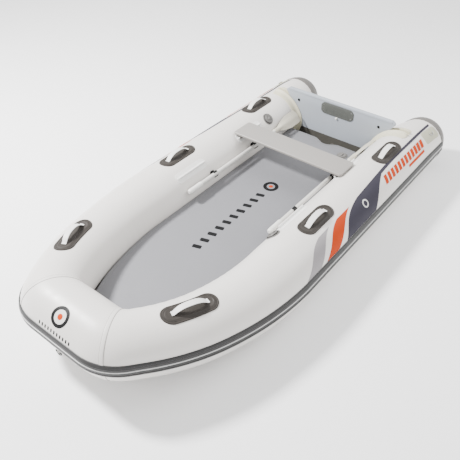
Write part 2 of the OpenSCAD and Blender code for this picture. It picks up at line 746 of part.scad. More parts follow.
module stern_ring_patches() {
    color(holder_cream) {
        stern_ring_patch();
        starboard() stern_ring_patch();
    }
}
module port_stern_ring() {
    color(steel) on_tube(ring_station, ring_angle, ring_lift) rotate(180) dee_ring();
}
module starboard_stern_ring() {
    color(steel) starboard() on_tube(ring_station, ring_angle, ring_lift) rotate(180)
        dee_ring();
}
// Places its children on the bow tube, with local X across the boat and local -Y down
module on_nose(a, lift) {
    r = nose_r + lift;
    translate([nose_x - hull_length / 2 + r * cos(a), 0, nose_z + r * sin(a)])
        rotate([0, 0, 90]) children();
}
module bow_ring_patch() {
    half = 55;
    color(hull_white) {
        translate([nose_x - hull_length / 2, half, nose_z]) rotate([90, 0, 0])
            rotate([0, 0, bow_ring_angle - 14]) rotate_extrude(angle = 28, $fn = 96)
                translate([nose_r + gap, 0]) square([1.6, 2 * half]);
        on_nose(bow_ring_angle, ring_lift) ring_loop();
    }
}
module bow_ring() {
    color(black) on_nose(bow_ring_angle, ring_lift) rotate([90, 0, 0]) dee_ring();
}

port_tube();
starboard_tube();
bow_tube();
port_bow_seam();
starboard_bow_seam();
port_stern_cap();
starboard_stern_cap();
rub_strake();
rub_strake_line();
bottom_skin();
keel_tube();
air_deck();
deck_valve_body();
deck_valve_cap();
transom_board();
transom_top_trim();
transom_seal_strip();
port_transom_holder();
starboard_transom_holder();
motor_pad_inner();
motor_pad_outer();
motor_pad_screws();
lanyard_knob();
transom_eye_bolts();
drain_valve_body();
drain_plug();
seat_board();
seat_sliders();
seat_rail_patches();
seat_rails();
port_handle_pads();
starboard_handle_pads();
port_strap_fore();
port_strap_mid();
port_strap_aft();
starboard_strap_fore();
starboard_strap_mid();
starboard_strap_aft();
port_valve_body();
port_valve_cap();
starboard_valve_body();
starboard_valve_cap();
port_oar_shaft();
port_oar_grip();
port_oar_blade();
starboard_oar_shaft();
starboard_oar_grip();
starboard_oar_blade();
port_clip_fore();
port_clip_aft();
starboard_clip_fore();
starboard_clip_aft();
stern_ring_patches();
port_stern_ring();
starboard_stern_ring();
bow_ring_patch();
bow_ring();
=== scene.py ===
# Inflatable dinghy with an air deck, a board transom, a bench seat and two oars.
# Metres. +X to the bow, +Y to port, +Z up. Stations run forward from the aft end of the stern
# caps. A place on a tube is a station and an angle round it: 0 is outboard, 90 is the top.
import math

import bmesh
import bpy
import numpy as np
from mathutils import Matrix, Vector


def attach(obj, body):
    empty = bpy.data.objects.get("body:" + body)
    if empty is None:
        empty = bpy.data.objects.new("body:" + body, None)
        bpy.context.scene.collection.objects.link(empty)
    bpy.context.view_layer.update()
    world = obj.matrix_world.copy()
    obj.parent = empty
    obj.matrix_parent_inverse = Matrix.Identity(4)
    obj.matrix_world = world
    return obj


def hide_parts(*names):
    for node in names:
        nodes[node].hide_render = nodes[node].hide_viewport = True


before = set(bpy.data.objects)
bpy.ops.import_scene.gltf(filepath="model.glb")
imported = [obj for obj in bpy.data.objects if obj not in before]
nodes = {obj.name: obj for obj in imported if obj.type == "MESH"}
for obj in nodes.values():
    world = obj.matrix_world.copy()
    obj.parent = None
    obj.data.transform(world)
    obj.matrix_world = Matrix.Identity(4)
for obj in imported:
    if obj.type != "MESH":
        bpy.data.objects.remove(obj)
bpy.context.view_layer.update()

# ---- Hull sizes, as the frame has them ----
HULL_LENGTH = 3.3
TUBE_R = 0.21
NOSE_R = 0.176
TUBE_Y = 0.56
STRAIGHT_END = 2.1
BEND_R1, BEND_A1 = 2.07, math.radians(15.5)
BEND_R2, BEND_A2 = 1.227, math.radians(35)
BOW_RISE = 0.11
CAP_DEPTH = 0.163
TAPER, TAPER_START = 0.024, 0.400
STRAKE_LOW, STRAKE_HIGH, STRAKE_T = -6, 18, 0.010
STRAKE_MID = (STRAKE_LOW + STRAKE_HIGH) / 2
DECK_TOP, DECK_T = 0.203, 0.075
DECK_AFT, DECK_FORE, DECK_NOTCH, DECK_NOTCH_HALF = 0.605, 2.962, 0.045, 0.115
DECK_VALVE = (0.717, 0.203)
DECK_RING_X, DASH_X, DASH_PITCH, DASHES = 1.385, 1.515, 0.076, 10
TRANSOM_X, TRANSOM_T, TRANSOM_TOP, TRANSOM_HALF = 0.490, 0.028, 0.484, 0.487
HOLDER_R = TUBE_R + 0.006
MOTOR_PAD_Z, KNOB_Z, SEAL_TOP, SEAL_REACH, SEAL_T = 0.418, 0.360, 0.180, 0.10, 0.003
HANDLES = {"fore": 2.756, "mid": 1.735, "aft": 0.788}
HANDLE_ANGLE = 86
RAIL_ANGLE, RAIL_STATIONS, RAIL_LENGTH = 131, (1.092, 1.764), 0.285
OAR_ANGLE, OAR_LIFT, OAR_FORE, OAR_LENGTH, OAR_R = 160, 0.0275, 1.889, 1.354, 0.015
VALVE_ANGLE = 132
VALVES = {"port": 1.966, "starboard": 0.843}
MIDSHIP = HULL_LENGTH / 2

NOSE_X = HULL_LENGTH - (NOSE_R + STRAKE_T) * math.cos(math.radians(STRAKE_MID))
NOSE_Z = TUBE_R + BOW_RISE
BEND_X1 = STRAIGHT_END + BEND_R1 * math.sin(BEND_A1)
BEND_Y1 = TUBE_Y - BEND_R1 * (1 - math.cos(BEND_A1))
BEND_X2 = BEND_X1 + BEND_R2 * (math.sin(BEND_A2) - math.sin(BEND_A1))
BEND_Y2 = BEND_Y1 - BEND_R2 * (math.cos(BEND_A1) - math.cos(BEND_A2))
CORNER_Y = BEND_Y2 - (NOSE_X - BEND_X2) * math.tan(BEND_A2)
MITRE = math.tan((math.pi / 2 - BEND_A2) / 2)


# ---- The tubes' centre line ----
def heading(s):
    if s <= STRAIGHT_END:
        return 0.0
    if s <= BEND_X1:
        return math.asin((s - STRAIGHT_END) / BEND_R1)
    if s <= BEND_X2:
        return math.asin(math.sin(BEND_A1) + (s - BEND_X1) / BEND_R2)
    return BEND_A2


def taper(s):
    """How much narrower the tube is near its stern cap; its outer side stays straight."""
    return TAPER * (max(0.0, TAPER_START - s) / (TAPER_START - CAP_DEPTH)) ** 1.5


def line_y(s):
    h = heading(s)
    if s <= STRAIGHT_END:
        return TUBE_Y + taper(s)
    if s <= BEND_X1:
        return TUBE_Y - BEND_R1 * (1 - math.cos(h))
    if s <= BEND_X2:
        return BEND_Y1 - BEND_R2 * (math.cos(BEND_A1) - math.cos(h))
    return BEND_Y2 - (s - BEND_X2) * math.tan(BEND_A2)


def bow_part(s):
    return max(0.0, (s - STRAIGHT_END) / (NOSE_X - STRAIGHT_END))


def line_z(s):
    return TUBE_R + BOW_RISE * bow_part(s) ** 2


def radius(s):
    return TUBE_R - taper(s) + (NOSE_R - TUBE_R) * bow_part(s)


def skin(s, a, lift=0.0, side=1):
    """A point on a side tube: station, degrees round it, lift off the fabric, side 1 to port."""
    h, r, a = heading(s), radius(s) + lift, math.radians(a)
    return np.array((s - MIDSHIP + r * math.cos(a) * math.sin(h),
                     side * (line_y(s) + r * math.cos(a) * math.cos(h)),
                     line_z(s) + r * math.sin(a)))


def level_angle(s, a):
    """The angle at which a lengthwise line stays straight in space where the tube narrows."""
    if s >= TAPER_START:
        return a
    across = (TUBE_Y + TUBE_R * math.cos(math.radians(a)) - line_y(s)) / radius(s)
    return math.degrees(math.acos(across))


def mitre_point(a, lift, side=1):
    r, a = NOSE_R + lift, math.radians(a)
    return np.array((NOSE_X - MIDSHIP + r * math.cos(a),
                     side * (CORNER_Y + r * math.cos(a) * MITRE), NOSE_Z + r * math.sin(a)))


CORNER_SOFT, CORNER_TIGHT = 0.155, 0.006


def corner_reach(a):
    """How far the rounding of the bow's corner reaches along the tubes: most on the outer side."""
    return CORNER_TIGHT + CORNER_SOFT * (1 + math.cos(math.radians(a))) / 2


def bow_corner(a, lift, w, side=1):
    """A point near the mitre, w metres past it towards the middle of the bow."""
    tip = mitre_point(a, lift, side)
    back = skin(BEND_X2, a, lift, side) - tip
    back /= np.linalg.norm(back)
    inward = np.array((0.0, -side, 0.0))
    reach = corner_reach(a)
    if abs(w) >= reach:
        return tip + (inward * w if w > 0 else back * -w)
    t = 0.5 + 0.5 * w / reach
    return tip + back * reach * (1 - t) ** 2 + inward * reach * t ** 2


def skin_frame(s, a, lift=0.0, side=1):
    """Local +Z out of the tube, +X to the bow along it."""
    h, a = heading(s), math.radians(a)
    out = Vector((math.cos(a) * math.sin(h), side * math.cos(a) * math.cos(h), math.sin(a)))
    ahead = Vector((math.cos(h), -side * math.sin(h), 0))
    matrix = Matrix((ahead, out.cross(ahead), out)).transposed().to_4x4()
    matrix.translation = Vector(skin(s, math.degrees(a), lift, side))
    return matrix


# ---- Materials ----
def graph(name):
    material = bpy.data.materials.new(name)
    material.use_nodes = True
    tree = material.node_tree
    tree.nodes.clear()
    shader = tree.nodes.new("ShaderNodeBsdfPrincipled")
    output = tree.nodes.new("ShaderNodeOutputMaterial")
    tree.links.new(shader.outputs[0], output.inputs[0])
    place = tree.nodes.new("ShaderNodeTexCoord").outputs["Object"]
    return material, tree, shader, place


def add(tree, kind, settings=None, **inputs):
    node = tree.nodes.new(kind)
    for key, value in (settings or {}).items():
        setattr(node, key, value)
    for key, value in inputs.items():
        socket = node.inputs[key.replace("_", " ")]
        if hasattr(value, "is_output"):
            tree.links.new(value, socket)
        else:
            socket.default_value = value
    return node


def stretched(tree, place, scale, turn=(0, 0, 0)):
    return add(tree, "ShaderNodeMapping", Vector=place, Scale=scale, Rotation=turn).outputs[0]


def mottled(tree, shader, place, colour, other, size, share=0.5):
    """Two near tones of the colour, drifting over patches of the given size."""
    noise = add(tree, "ShaderNodeTexNoise", Vector=place, Scale=1 / size, Detail=5.0)
    ramp = add(tree, "ShaderNodeValToRGB", Fac=noise.outputs[0])
    ramp.color_ramp.elements[0].position = share - 0.18
    ramp.color_ramp.elements[1].position = share + 0.18
    ramp.color_ramp.elements[0].color = (*other, 1)
    ramp.color_ramp.elements[1].color = (*colour, 1)
    tree.links.new(ramp.outputs[0], shader.inputs["Base Color"])


def uneven_gloss(tree, shader, place, low, high, size):
    noise = add(tree, "ShaderNodeTexNoise", Vector=place, Scale=1 / size, Detail=3.0)
    span = add(tree, "ShaderNodeMapRange", Value=noise.outputs[0],
               From_Min=0.3, From_Max=0.7, To_Min=low, To_Max=high)
    tree.links.new(span.outputs[0], shader.inputs["Roughness"])


def relief(tree, shader, heights):
    """Bumps stacked one on another: each is a height socket, its strength and its depth."""
    normal = None
    for height, strength, depth in heights:
        bump = add(tree, "ShaderNodeBump", Height=height, Strength=strength, Distance=depth)
        if normal is not None:
            tree.links.new(normal, bump.inputs["Normal"])
        normal = bump.outputs[0]
    tree.links.new(normal, shader.inputs["Normal"])


def noise_height(tree, place, size, detail=3.0):
    return add(tree, "ShaderNodeTexNoise", Vector=place, Scale=1 / size, Detail=detail).outputs[0]


def crossed_waves(tree, place, pitch, axes=("X", "Y"), distortion=0.4):
    waves = [add(tree, "ShaderNodeTexWave", {"bands_direction": axis}, Vector=place,
                 Scale=0.314 / pitch, Distortion=distortion).outputs["Fac"] for axis in axes]
    joined = add(tree, "ShaderNodeMath", {"operation": "MULTIPLY"})
    tree.links.new(waves[0], joined.inputs[0])
    tree.links.new(waves[1], joined.inputs[1])
    return joined.outputs[0]


def shade(colour, factor):
    return tuple(min(1.0, c * factor) for c in colour)


def coated_fabric(name, colour, rough=0.42, pitch=0.0012, tone=0.97, shine=0.45):
    material, tree, shader, place = graph(name)
    mottled(tree, shader, place, colour, shade(colour, tone), 0.22)
    uneven_gloss(tree, shader, place, rough - 0.05, rough + 0.07, 0.05)
    relief(tree, shader, [(noise_height(tree, place, 0.16, 2.0), 0.12, 0.006),
                          (crossed_waves(tree, place, pitch), 0.18, 0.00025)])
    shader.inputs["Specular IOR Level"].default_value = shine
    shader.inputs["Coat Weight"].default_value = 0.13 * shine
    shader.inputs["Coat Roughness"].default_value = 0.35
    return material


def deck_fabric(name, colour):
    """Drop-stitch deck: an embossed diamond grip pattern over a slightly pillowed face."""
    material, tree, shader, place = graph(name)
    mottled(tree, shader, place, colour, shade(colour, 0.96), 0.3)
    uneven_gloss(tree, shader, place, 0.5, 0.62, 0.04)
    turned = stretched(tree, place, (1, 1, 1), (0, 0, math.radians(45)))
    relief(tree, shader, [(noise_height(tree, place, 0.25, 1.0), 0.15, 0.004),
                          (crossed_waves(tree, turned, 0.0055, distortion=0.0), 0.5, 0.0005)])
    shader.inputs["Specular IOR Level"].default_value = 0.4
    return material


def moulding(name, colour, rough=0.5, grain=0.0009, depth=0.00025, tone=0.94, shine=0.5):
    material, tree, shader, place = graph(name)
    mottled(tree, shader, place, colour, shade(colour, tone), 0.05)
    uneven_gloss(tree, shader, place, rough - 0.06, rough + 0.08, 0.012)
    relief(tree, shader, [(noise_height(tree, place, grain, 2.0), 0.35, depth),
                          (noise_height(tree, place, 0.03, 1.0), 0.08, 0.0015)])
    shader.inputs["Specular IOR Level"].default_value = shine
    return material


def painted_board(name, colour, rough=0.36):
    """Smooth paint on plywood, with the grain and a little orange peel just showing."""
    material, tree, shader, place = graph(name)
    mottled(tree, shader, place, colour, shade(colour, 0.975), 0.3)
    uneven_gloss(tree, shader, place, rough - 0.04, rough + 0.08, 0.08)
    grain = noise_height(tree, stretched(tree, place, (1, 0.06, 1)), 0.004, 6.0)
    peel = noise_height(tree, place, 0.004, 1.0)
    relief(tree, shader, [(grain, 0.12, 0.0004), (peel, 0.1, 0.0003)])
    shader.inputs["Coat Weight"].default_value = 0.15
    shader.inputs["Coat Roughness"].default_value = 0.25
    return material


def brushed_metal(name, colour, rough=0.28):
    material, tree, shader, place = graph(name)
    mottled(tree, shader, place, colour, shade(colour, 0.9), 0.02)
    streaks = noise_height(tree, stretched(tree, place, (0.05, 1, 1)), 0.0006, 4.0)
    span = add(tree, "ShaderNodeMapRange", Value=streaks, From_Min=0.3, From_Max=0.7,
               To_Min=rough - 0.1, To_Max=rough + 0.12)
    tree.links.new(span.outputs[0], shader.inputs["Roughness"])
    relief(tree, shader, [(streaks, 0.15, 0.0001)])
    shader.inputs["Metallic"].default_value = 1.0
    return material


TUBE_WHITE = coated_fabric("tube_fabric", (0.70, 0.672, 0.640), 0.38)
SEAM_TAPE = coated_fabric("seam_tape_fabric", (0.67, 0.645, 0.615), 0.44, 0.0009)
# Dark lines along the edges of the bow's seam tape: glue lines, with painted shade where the
# tape's edge steps down onto the tube.
SEAM_GLUE_SHADE = coated_fabric("seam_edge_glue_and_shade", (0.26, 0.24, 0.225), 0.5)
SKIN_WHITE = coated_fabric("bottom_fabric", (0.60, 0.575, 0.55), 0.5, 0.0015)
DECK_GREY = deck_fabric("deck_fabric", (0.185, 0.185, 0.197))
# Edge band of the deck: its own fabric, coloured a little darker than the deck as painted shade
# along the tubes.
DECK_BAND_SHADE = coated_fabric("deck_side_fabric", (0.16, 0.16, 0.168), 0.5)
PRINT_BLACK = coated_fabric("deck_print", (0.006, 0.006, 0.0065), 0.5, shine=0.15)
VALVE_DARK = moulding("valve_shadow_plastic", (0.025, 0.024, 0.022), 0.5)
ORANGE = coated_fabric("orange_applique", (0.46, 0.040, 0.001), 0.5, tone=0.92, shine=0.1)
SLATE = coated_fabric("slate_applique", (0.032, 0.029, 0.043), 0.5, tone=0.93, shine=0.12)
PALE_GREY = coated_fabric("pale_grey_applique", (0.25, 0.232, 0.24), 0.42)
PATCH_CREAM = coated_fabric("cream_patch_fabric", (0.42, 0.41, 0.31), 0.46)
STRAKE_GREY = moulding("strake_rubber", (0.034, 0.033, 0.033), 0.36, 0.0007, 0.0002, 0.85, 0.3)
STRAKE_LINE = moulding("strake_piping", (0.62, 0.615, 0.605), 0.38)
CAP_GREY = moulding("stern_cap_plastic", (0.125, 0.116, 0.106), 0.46, 0.0012, 0.0004)
VALVE_GREY = moulding("valve_plastic", (0.165, 0.158, 0.15), 0.42)
PAD_RUBBER = moulding("handle_pad_rubber", (0.040, 0.035, 0.031), 0.5, 0.0011, 0.0004, 0.86, 0.2)
STRAP_WHITE = moulding("handle_strap", (0.80, 0.79, 0.77), 0.42, 0.0008)
CREAM_RUBBER = moulding("holder_rubber", (0.62, 0.585, 0.44), 0.5)
BOARD_BLUE = painted_board("transom_paint", (0.345, 0.372, 0.412))
SEAT_PAINT = painted_board("seat_paint", (0.285, 0.268, 0.25), 0.4)
SEAL_OLIVE = coated_fabric("seal_strip_fabric", (0.065, 0.061, 0.052), 0.55)
PAD_OLIVE = moulding("motor_pad_plastic", (0.082, 0.086, 0.078), 0.5, 0.0013, 0.0004)
WHITE_PLASTIC = moulding("white_plastic", (0.74, 0.73, 0.70), 0.38)
OAR_METAL = moulding("oar_shaft_coating", (0.60, 0.585, 0.555), 0.34, 0.0006, 0.0001)
BLADE_CREAM = moulding("blade_plastic", (0.58, 0.545, 0.445), 0.42)
SLIDER_GREY = moulding("slider_plastic", (0.075, 0.07, 0.066), 0.5)
BLACK_PLASTIC = moulding("black_plastic", (0.008, 0.008, 0.008), 0.4, 0.0008, 0.0002, 0.7, 0.25)
STEEL = brushed_metal("stainless_steel", (0.55, 0.55, 0.54))


# ---- Mesh building ----
def mesh_of(name, verts, faces):
    mesh = bpy.data.meshes.new(name)
    mesh.from_pydata([tuple(v) for v in verts], [], faces)
    work = bmesh.new()
    work.from_mesh(mesh)
    bmesh.ops.remove_doubles(work, verts=work.verts, dist=1e-6)
    bmesh.ops.recalc_face_normals(work, faces=work.faces)
    work.to_mesh(mesh)
    work.free()
    return mesh


def piece(name, mesh, body, material, stands_for=(), sharp=35):
    """Puts a finished mesh in the scene as a piece of the boat."""
    mesh.shade_smooth()
    mesh.set_sharp_from_angle(angle=math.radians(sharp))
    if not mesh.materials:
        mesh.materials.append(material)
    thing = bpy.data.objects.new(name, mesh)
    bpy.context.scene.collection.objects.link(thing)
    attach(thing, body)
    if stands_for:
        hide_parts(*stands_for)
    return thing


def walls(rings, count, loop=False):
    last = rings if loop else rings - 1
    return [(i * count + j, ((i + 1) % rings) * count + j,
             ((i + 1) % rings) * count + (j + 1) % count, i * count + (j + 1) % count)
            for i in range(last) for j in range(count)]


def end_faces(rings, count):
    return [tuple(range(count)), tuple((rings - 1) * count + j for j in range(count))]


def loft(name, rings, loop=False):
    """A closed skin through rings of points, each ring a closed loop with the same count."""
    count = len(rings[0])
    verts = [v for ring in rings for v in ring]
    faces = walls(len(rings), count, loop)
    if not loop:
        faces += end_faces(len(rings), count)
    return mesh_of(name, verts, faces)


def lathe(name, profile, place=Matrix(), segments=48):
    """Turns a profile of (radius, height) points round local Z; both ends may be on the axis."""
    verts, rings = [], []
    for r, z in profile:
        if r < 1e-7:
            rings.append([len(verts)])
            verts.append(place @ Vector((0, 0, z)))
            continue
        rings.append(list(range(len(verts), len(verts) + segments)))
        verts += [place @ Vector((r * math.cos(math.tau * k / segments),
                                  r * math.sin(math.tau * k / segments), z))
                  for k in range(segments)]
    faces = []
    for low, high in zip(rings, rings[1:]):
        for k in range(segments):
            a, b = low[k % len(low)], low[(k + 1) % len(low)]
            c, d = high[(k + 1) % len(high)], high[k % len(high)]
            face = []
            for v in (a, b, c, d):
                if v not in face:
                    face.append(v)
            if len(face) > 2:
                faces.append(tuple(face))
    return mesh_of(name, verts, faces)


def tube_profile(inner, outer, low, high, soft=0.001):
    """A washer's closed profile, repeating its first point, with softened rims."""
    return [(inner, low + soft), (inner + soft, low), (outer - soft, low), (outer, low + soft),
            (outer, high - soft), (outer - soft, high), (inner + soft, high),
            (inner, high - soft), (inner, low + soft)]


def inset(outline, by):
    """The outline moved in by a distance; outlines run anticlockwise."""
    before, after = np.roll(outline, 1, axis=0), np.roll(outline, -1, axis=0)
    first, second = outline - before, after - outline
    first /= np.linalg.norm(first, axis=1)[:, None]
    second /= np.linalg.norm(second, axis=1)[:, None]
    normal = np.stack((-(first[:, 1] + second[:, 1]), first[:, 0] + second[:, 0]), axis=1)
    normal /= np.linalg.norm(normal, axis=1)[:, None]
    turn = np.clip(np.sqrt((1 + (first * second).sum(axis=1)) / 2), 0.5, 1)
    return outline + normal * (by / turn)[:, None]


def rounded(corners, r, steps=5):
    """An outline with its corners rounded: corners are (x, y) anticlockwise."""
    points = []
    count = len(corners)
    for i, corner in enumerate(corners):
        here = np.array(corner, float)
        to_last = np.array(corners[i - 1], float) - here
        to_next = np.array(corners[(i + 1) % count], float) - here
        reach = min(r, 0.45 * np.linalg.norm(to_last), 0.45 * np.linalg.norm(to_next))
        start = here + to_last / np.linalg.norm(to_last) * reach
        end = here + to_next / np.linalg.norm(to_next) * reach
        for t in np.linspace(0, 1, steps + 1):
            points.append(start * (1 - t) ** 2 + 2 * here * t * (1 - t) + end * t ** 2)
    return np.array(points)


def slab(name, outline, thick, edge, place=Matrix(), steps=4):
    """A plate with rounded edges: the outline in local XY, its thickness from 0 up local Z."""
    quarter = [math.pi / 2 * k / steps for k in range(steps + 1)]
    edges = [(edge * (1 - math.sin(q)), edge * (1 - math.cos(q))) for q in quarter]
    edges += [(by, thick - z) for by, z in reversed(edges)]
    return loft(name, [[place @ Vector((x, y, z)) for x, y in inset(outline, by)]
                       for by, z in edges])


def on_skin(s0, a0, side=1):
    """Lays flat (along, around) points in metres on the tube: a function of points and lift."""
    def lay(points, lift):
        placed = []
        for (along, around), rise in zip(points, np.broadcast_to(lift, len(points))):
            s = s0 + along * math.cos(heading(s0))
            placed.append(skin(s, a0 + math.degrees(around / radius(s)), rise, side))
        return placed
    return lay


def skin_plate(name, s0, a0, outline, steps, side=1, fill=(0.8, 0.6, 0.4, 0.2)):
    """A plate that follows the tube: steps are (inset, lift) from its rim to its middle."""
    lay = on_skin(s0, a0, side)
    base = -0.0015
    rings = [lay(outline, base)]
    for by, lift in steps:
        rings.append(lay(inset(outline, by), lift))
    inner, lift = inset(outline, steps[-1][0]), steps[-1][1]
    for q in fill:
        rings.append(lay(inner * q, lift))
    verts = [v for ring in rings for v in ring]
    count = len(outline)
    faces = walls(len(rings), count)
    top, bottom = len(verts), len(verts) + 1
    verts += lay(np.zeros((1, 2)), lift) + lay(np.zeros((1, 2)), base)
    last = (len(rings) - 1) * count
    for j in range(count):
        faces.append((last + j, last + (j + 1) % count, top))
        faces.append(((j + 1) % count, j, bottom))
    return mesh_of(name, verts, faces)


def stadium(length, width, r, steps=10):
    x, y = length / 2 - r, width / 2 - r
    points = []
    for cx, cy, start in ((x, y, 0), (-x, y, 90), (-x, -y, 180), (x, -y, 270)):
        for k in range(steps + 1):
            q = math.radians(start + 90 * k / steps)
            points.append((cx + r * math.cos(q), cy + r * math.sin(q)))
    keep = [points[0]]
    for p in points[1:]:
        if math.dist(p, keep[-1]) > 1e-6:
            keep.append(p)
    # long straight stretches get points of their own, so that the plate can bend with the tube
    dense = []
    for p, q in zip(keep, keep[1:] + keep[:1]):
        parts = max(1, round(math.dist(p, q) / 0.02))
        dense += [tuple(np.array(p) + (np.array(q) - np.array(p)) * i / parts)
                  for i in range(parts)]
    return np.array(dense)


def disc(r, count=48):
    return np.array([(r * math.cos(math.tau * k / count), r * math.sin(math.tau * k / count))
                     for k in range(count)])


# ---- Geometry Nodes: rods along a path, and small parts repeated on seats ----
def new_tree(name, inputs):
    tree = bpy.data.node_groups.new(name, "GeometryNodeTree")
    tree.interface.new_socket("Geometry", in_out="INPUT", socket_type="NodeSocketGeometry")
    for label, kind in inputs:
        tree.interface.new_socket(label, in_out="INPUT", socket_type=kind)
    tree.interface.new_socket("Geometry", in_out="OUTPUT", socket_type="NodeSocketGeometry")
    source = tree.nodes.new("NodeGroupInput")
    sink = tree.nodes.new("NodeGroupOutput")
    return tree, source, sink


def finish_tree(tree, geometry, source, sink):
    realize = tree.nodes.new("GeometryNodeRealizeInstances")
    coat = tree.nodes.new("GeometryNodeSetMaterial")
    tree.links.new(geometry, realize.inputs[0])
    tree.links.new(realize.outputs[0], coat.inputs["Geometry"])
    tree.links.new(source.outputs["Material"], coat.inputs["Material"])
    tree.links.new(coat.outputs[0], sink.inputs[0])


def rod_tree():
    tree, source, sink = new_tree("rod_along_a_path", [
        ("Rod radius", "NodeSocketFloat"), ("Sides", "NodeSocketInt"),
        ("Material", "NodeSocketMaterial")])
    ring = tree.nodes.new("GeometryNodeCurvePrimitiveCircle")
    sweep = tree.nodes.new("GeometryNodeCurveToMesh")
    tree.links.new(source.outputs["Rod radius"], ring.inputs["Radius"])
    tree.links.new(source.outputs["Sides"], ring.inputs["Resolution"])
    tree.links.new(source.outputs[0], sweep.inputs["Curve"])
    tree.links.new(ring.outputs[0], sweep.inputs["Profile Curve"])
    sweep.inputs["Fill Caps"].default_value = True
    finish_tree(tree, sweep.outputs[0], source, sink)
    return tree


def repeat_tree(name, primitive, sizes, kind):
    """Stands one small primitive on every seat of a guide mesh, turned as the seat says."""
    tree, source, sink = new_tree(name, [(label, kind) for label in sizes.values()]
                                  + [("Material", "NodeSocketMaterial")])
    part = tree.nodes.new(primitive)
    for socket, label in sizes.items():
        tree.links.new(source.outputs[label], part.inputs[socket])
    if primitive == "GeometryNodeMeshCylinder":
        part.inputs["Vertices"].default_value = 10
    place = tree.nodes.new("GeometryNodeInstanceOnPoints")
    turn = tree.nodes.new("GeometryNodeInputNamedAttribute")
    turn.data_type = "FLOAT_VECTOR"
    turn.inputs["Name"].default_value = "turn"
    euler = tree.nodes.new("FunctionNodeEulerToRotation")
    tree.links.new(turn.outputs["Attribute"], euler.inputs[0])
    tree.links.new(source.outputs[0], place.inputs["Points"])
    tree.links.new(part.outputs[0], place.inputs["Instance"])
    tree.links.new(euler.outputs[0], place.inputs["Rotation"])
    finish_tree(tree, place.outputs[0], source, sink)
    return tree


ROD = rod_tree()
STUDS = repeat_tree("studs_on_seats", "GeometryNodeMeshCylinder",
                    {"Radius": "Stud radius", "Depth": "Stud height"}, "NodeSocketFloat")
BARS = repeat_tree("bars_on_seats", "GeometryNodeMeshCube", {"Size": "Bar size"},
                   "NodeSocketVector")


def grown(guide, tree, values):
    """Runs a tree on a guide object and gives back the plain mesh that it grows."""
    modifier = guide.modifiers.new("grow", "NODES")
    modifier.node_group = tree
    for item in tree.interface.items_tree:
        if item.in_out == "INPUT" and item.name in values:
            modifier[item.identifier] = values[item.name]
    bpy.context.view_layer.update()
    seen = guide.evaluated_get(bpy.context.evaluated_depsgraph_get())
    mesh = bpy.data.meshes.new_from_object(seen)
    guide.modifiers.remove(modifier)
    bpy.data.objects.remove(guide)
    return mesh


def rod(points, r, material, closed=False, sides=12):
    curve = bpy.data.curves.new("path", "CURVE")
    curve.dimensions = "3D"
    line = curve.splines.new("POLY")
    line.points.add(len(points) - 1)
    for place, p in zip(line.points, points):
        place.co = (*p, 1)
    line.use_cyclic_u = closed
    guide = bpy.data.objects.new("path", curve)
    bpy.context.scene.collection.objects.link(guide)
    return grown(guide, ROD, {"Rod radius": r, "Sides": sides, "Material": material})


def repeated(seats, tree, values):
    """seats are matrices; the tree's small part stands on each."""
    mesh = bpy.data.meshes.new("seats")
    mesh.from_pydata([tuple(m.translation) for m in seats], [], [])
    turn = mesh.attributes.new("turn", "FLOAT_VECTOR", "POINT")
    turn.data.foreach_set("vector", [v for m in seats for v in m.to_euler()])
    guide = bpy.data.objects.new("seats", mesh)
    bpy.context.scene.collection.objects.link(guide)
    return grown(guide, tree, values)


def joined(name, meshes):
    """Several meshes as one, each keeping its material."""
    work = bmesh.new()
    materials = []
    for mesh in meshes:
        first = len(work.faces)
        index = []
        for material in mesh.materials:
            if material not in materials:
                materials.append(material)
            index.append(materials.index(material))
        work.from_mesh(mesh)
        work.faces.ensure_lookup_table()
        for face in work.faces[first:]:
            face.material_index = index[face.material_index] if index else 0
    result = bpy.data.meshes.new(name)
    work.to_mesh(result)
    work.free()
    for material in materials:
        result.materials.append(material)
    return result


def coated(mesh, material):
    mesh.materials.clear()
    mesh.materials.append(material)
    return mesh


def mirrored(mesh):
    """The same shape on the other side of the boat, with its faces turned to point out."""
    twin = mesh.copy()
    twin.transform(Matrix.Scale(-1, 4, Vector((0, 1, 0))))
    twin.flip_normals()
    return twin


# ---- Air chambers ----
AROUND = [360 * j / 96 for j in range(96)]
SIDES = (("port", 1), ("starboard", -1))


def spread(low, high, count):
    return [low + (high - low) * i / count for i in range(count + 1)]


def fabric_lift(s, a):
    """Small rises and hollows of the inflated fabric, all of them inwards of the true skin."""
    inner = math.exp(-((a - 165) / 42) ** 2)
    bend = min(1.0, max(0.0, (s - 2.2) / 0.25))
    pucker = 0.0011 * bend * inner * (1 - math.cos(math.tau * s / 0.061))
    holder = 0.0022 * math.exp(-((s - TRANSOM_X + TRANSOM_T / 2) / 0.11) ** 2)
    gather = 0.0009 * (1 - math.cos(math.tau * a / 11.25))
    return -pucker - holder - gather * math.exp(-((s - CAP_DEPTH) / 0.05) ** 2)


def side_chamber(side):
    stations = spread(CAP_DEPTH - 0.012, STRAIGHT_END, 72)
    stations += spread(STRAIGHT_END, BEND_X2 - 0.004, 46)[1:]
    rings = [[skin(s, a, fabric_lift(s, a), side) for a in AROUND] for s in stations]
    for k in (1.0, 0.8, 0.6, 0.4, 0.2, 0.0):
        rings.append([bow_corner(a, 0, -k * corner_reach(a), side) for a in AROUND])
    return loft("chamber", rings)


def bow_chamber():
    corner = [[bow_corner(a, 0, k * corner_reach(a), 1) for a in AROUND]
              for k in (0.0, 0.2, 0.4, 0.6, 0.8, 1.0)]
    edge = [bow_corner(a, 0, corner_reach(a), 1) for a in AROUND]
    middle = []
    for q in np.linspace(1, -1, 13)[1:-1]:
        middle.append([np.array((p[0], p[1] * q, p[2])) for p in edge])
    other = [[p * (1, -1, 1) for p in ring] for ring in reversed(corner)]
    return loft("bow", corner + middle + other)


for side_name, side in SIDES:
    piece(f"{side_name}_chamber", side_chamber(side), "hull", TUBE_WHITE,
          [f"{side_name}_tube"], 60)
piece("bow_chamber", bow_chamber(), "hull", TUBE_WHITE, ["bow_tube"], 60)


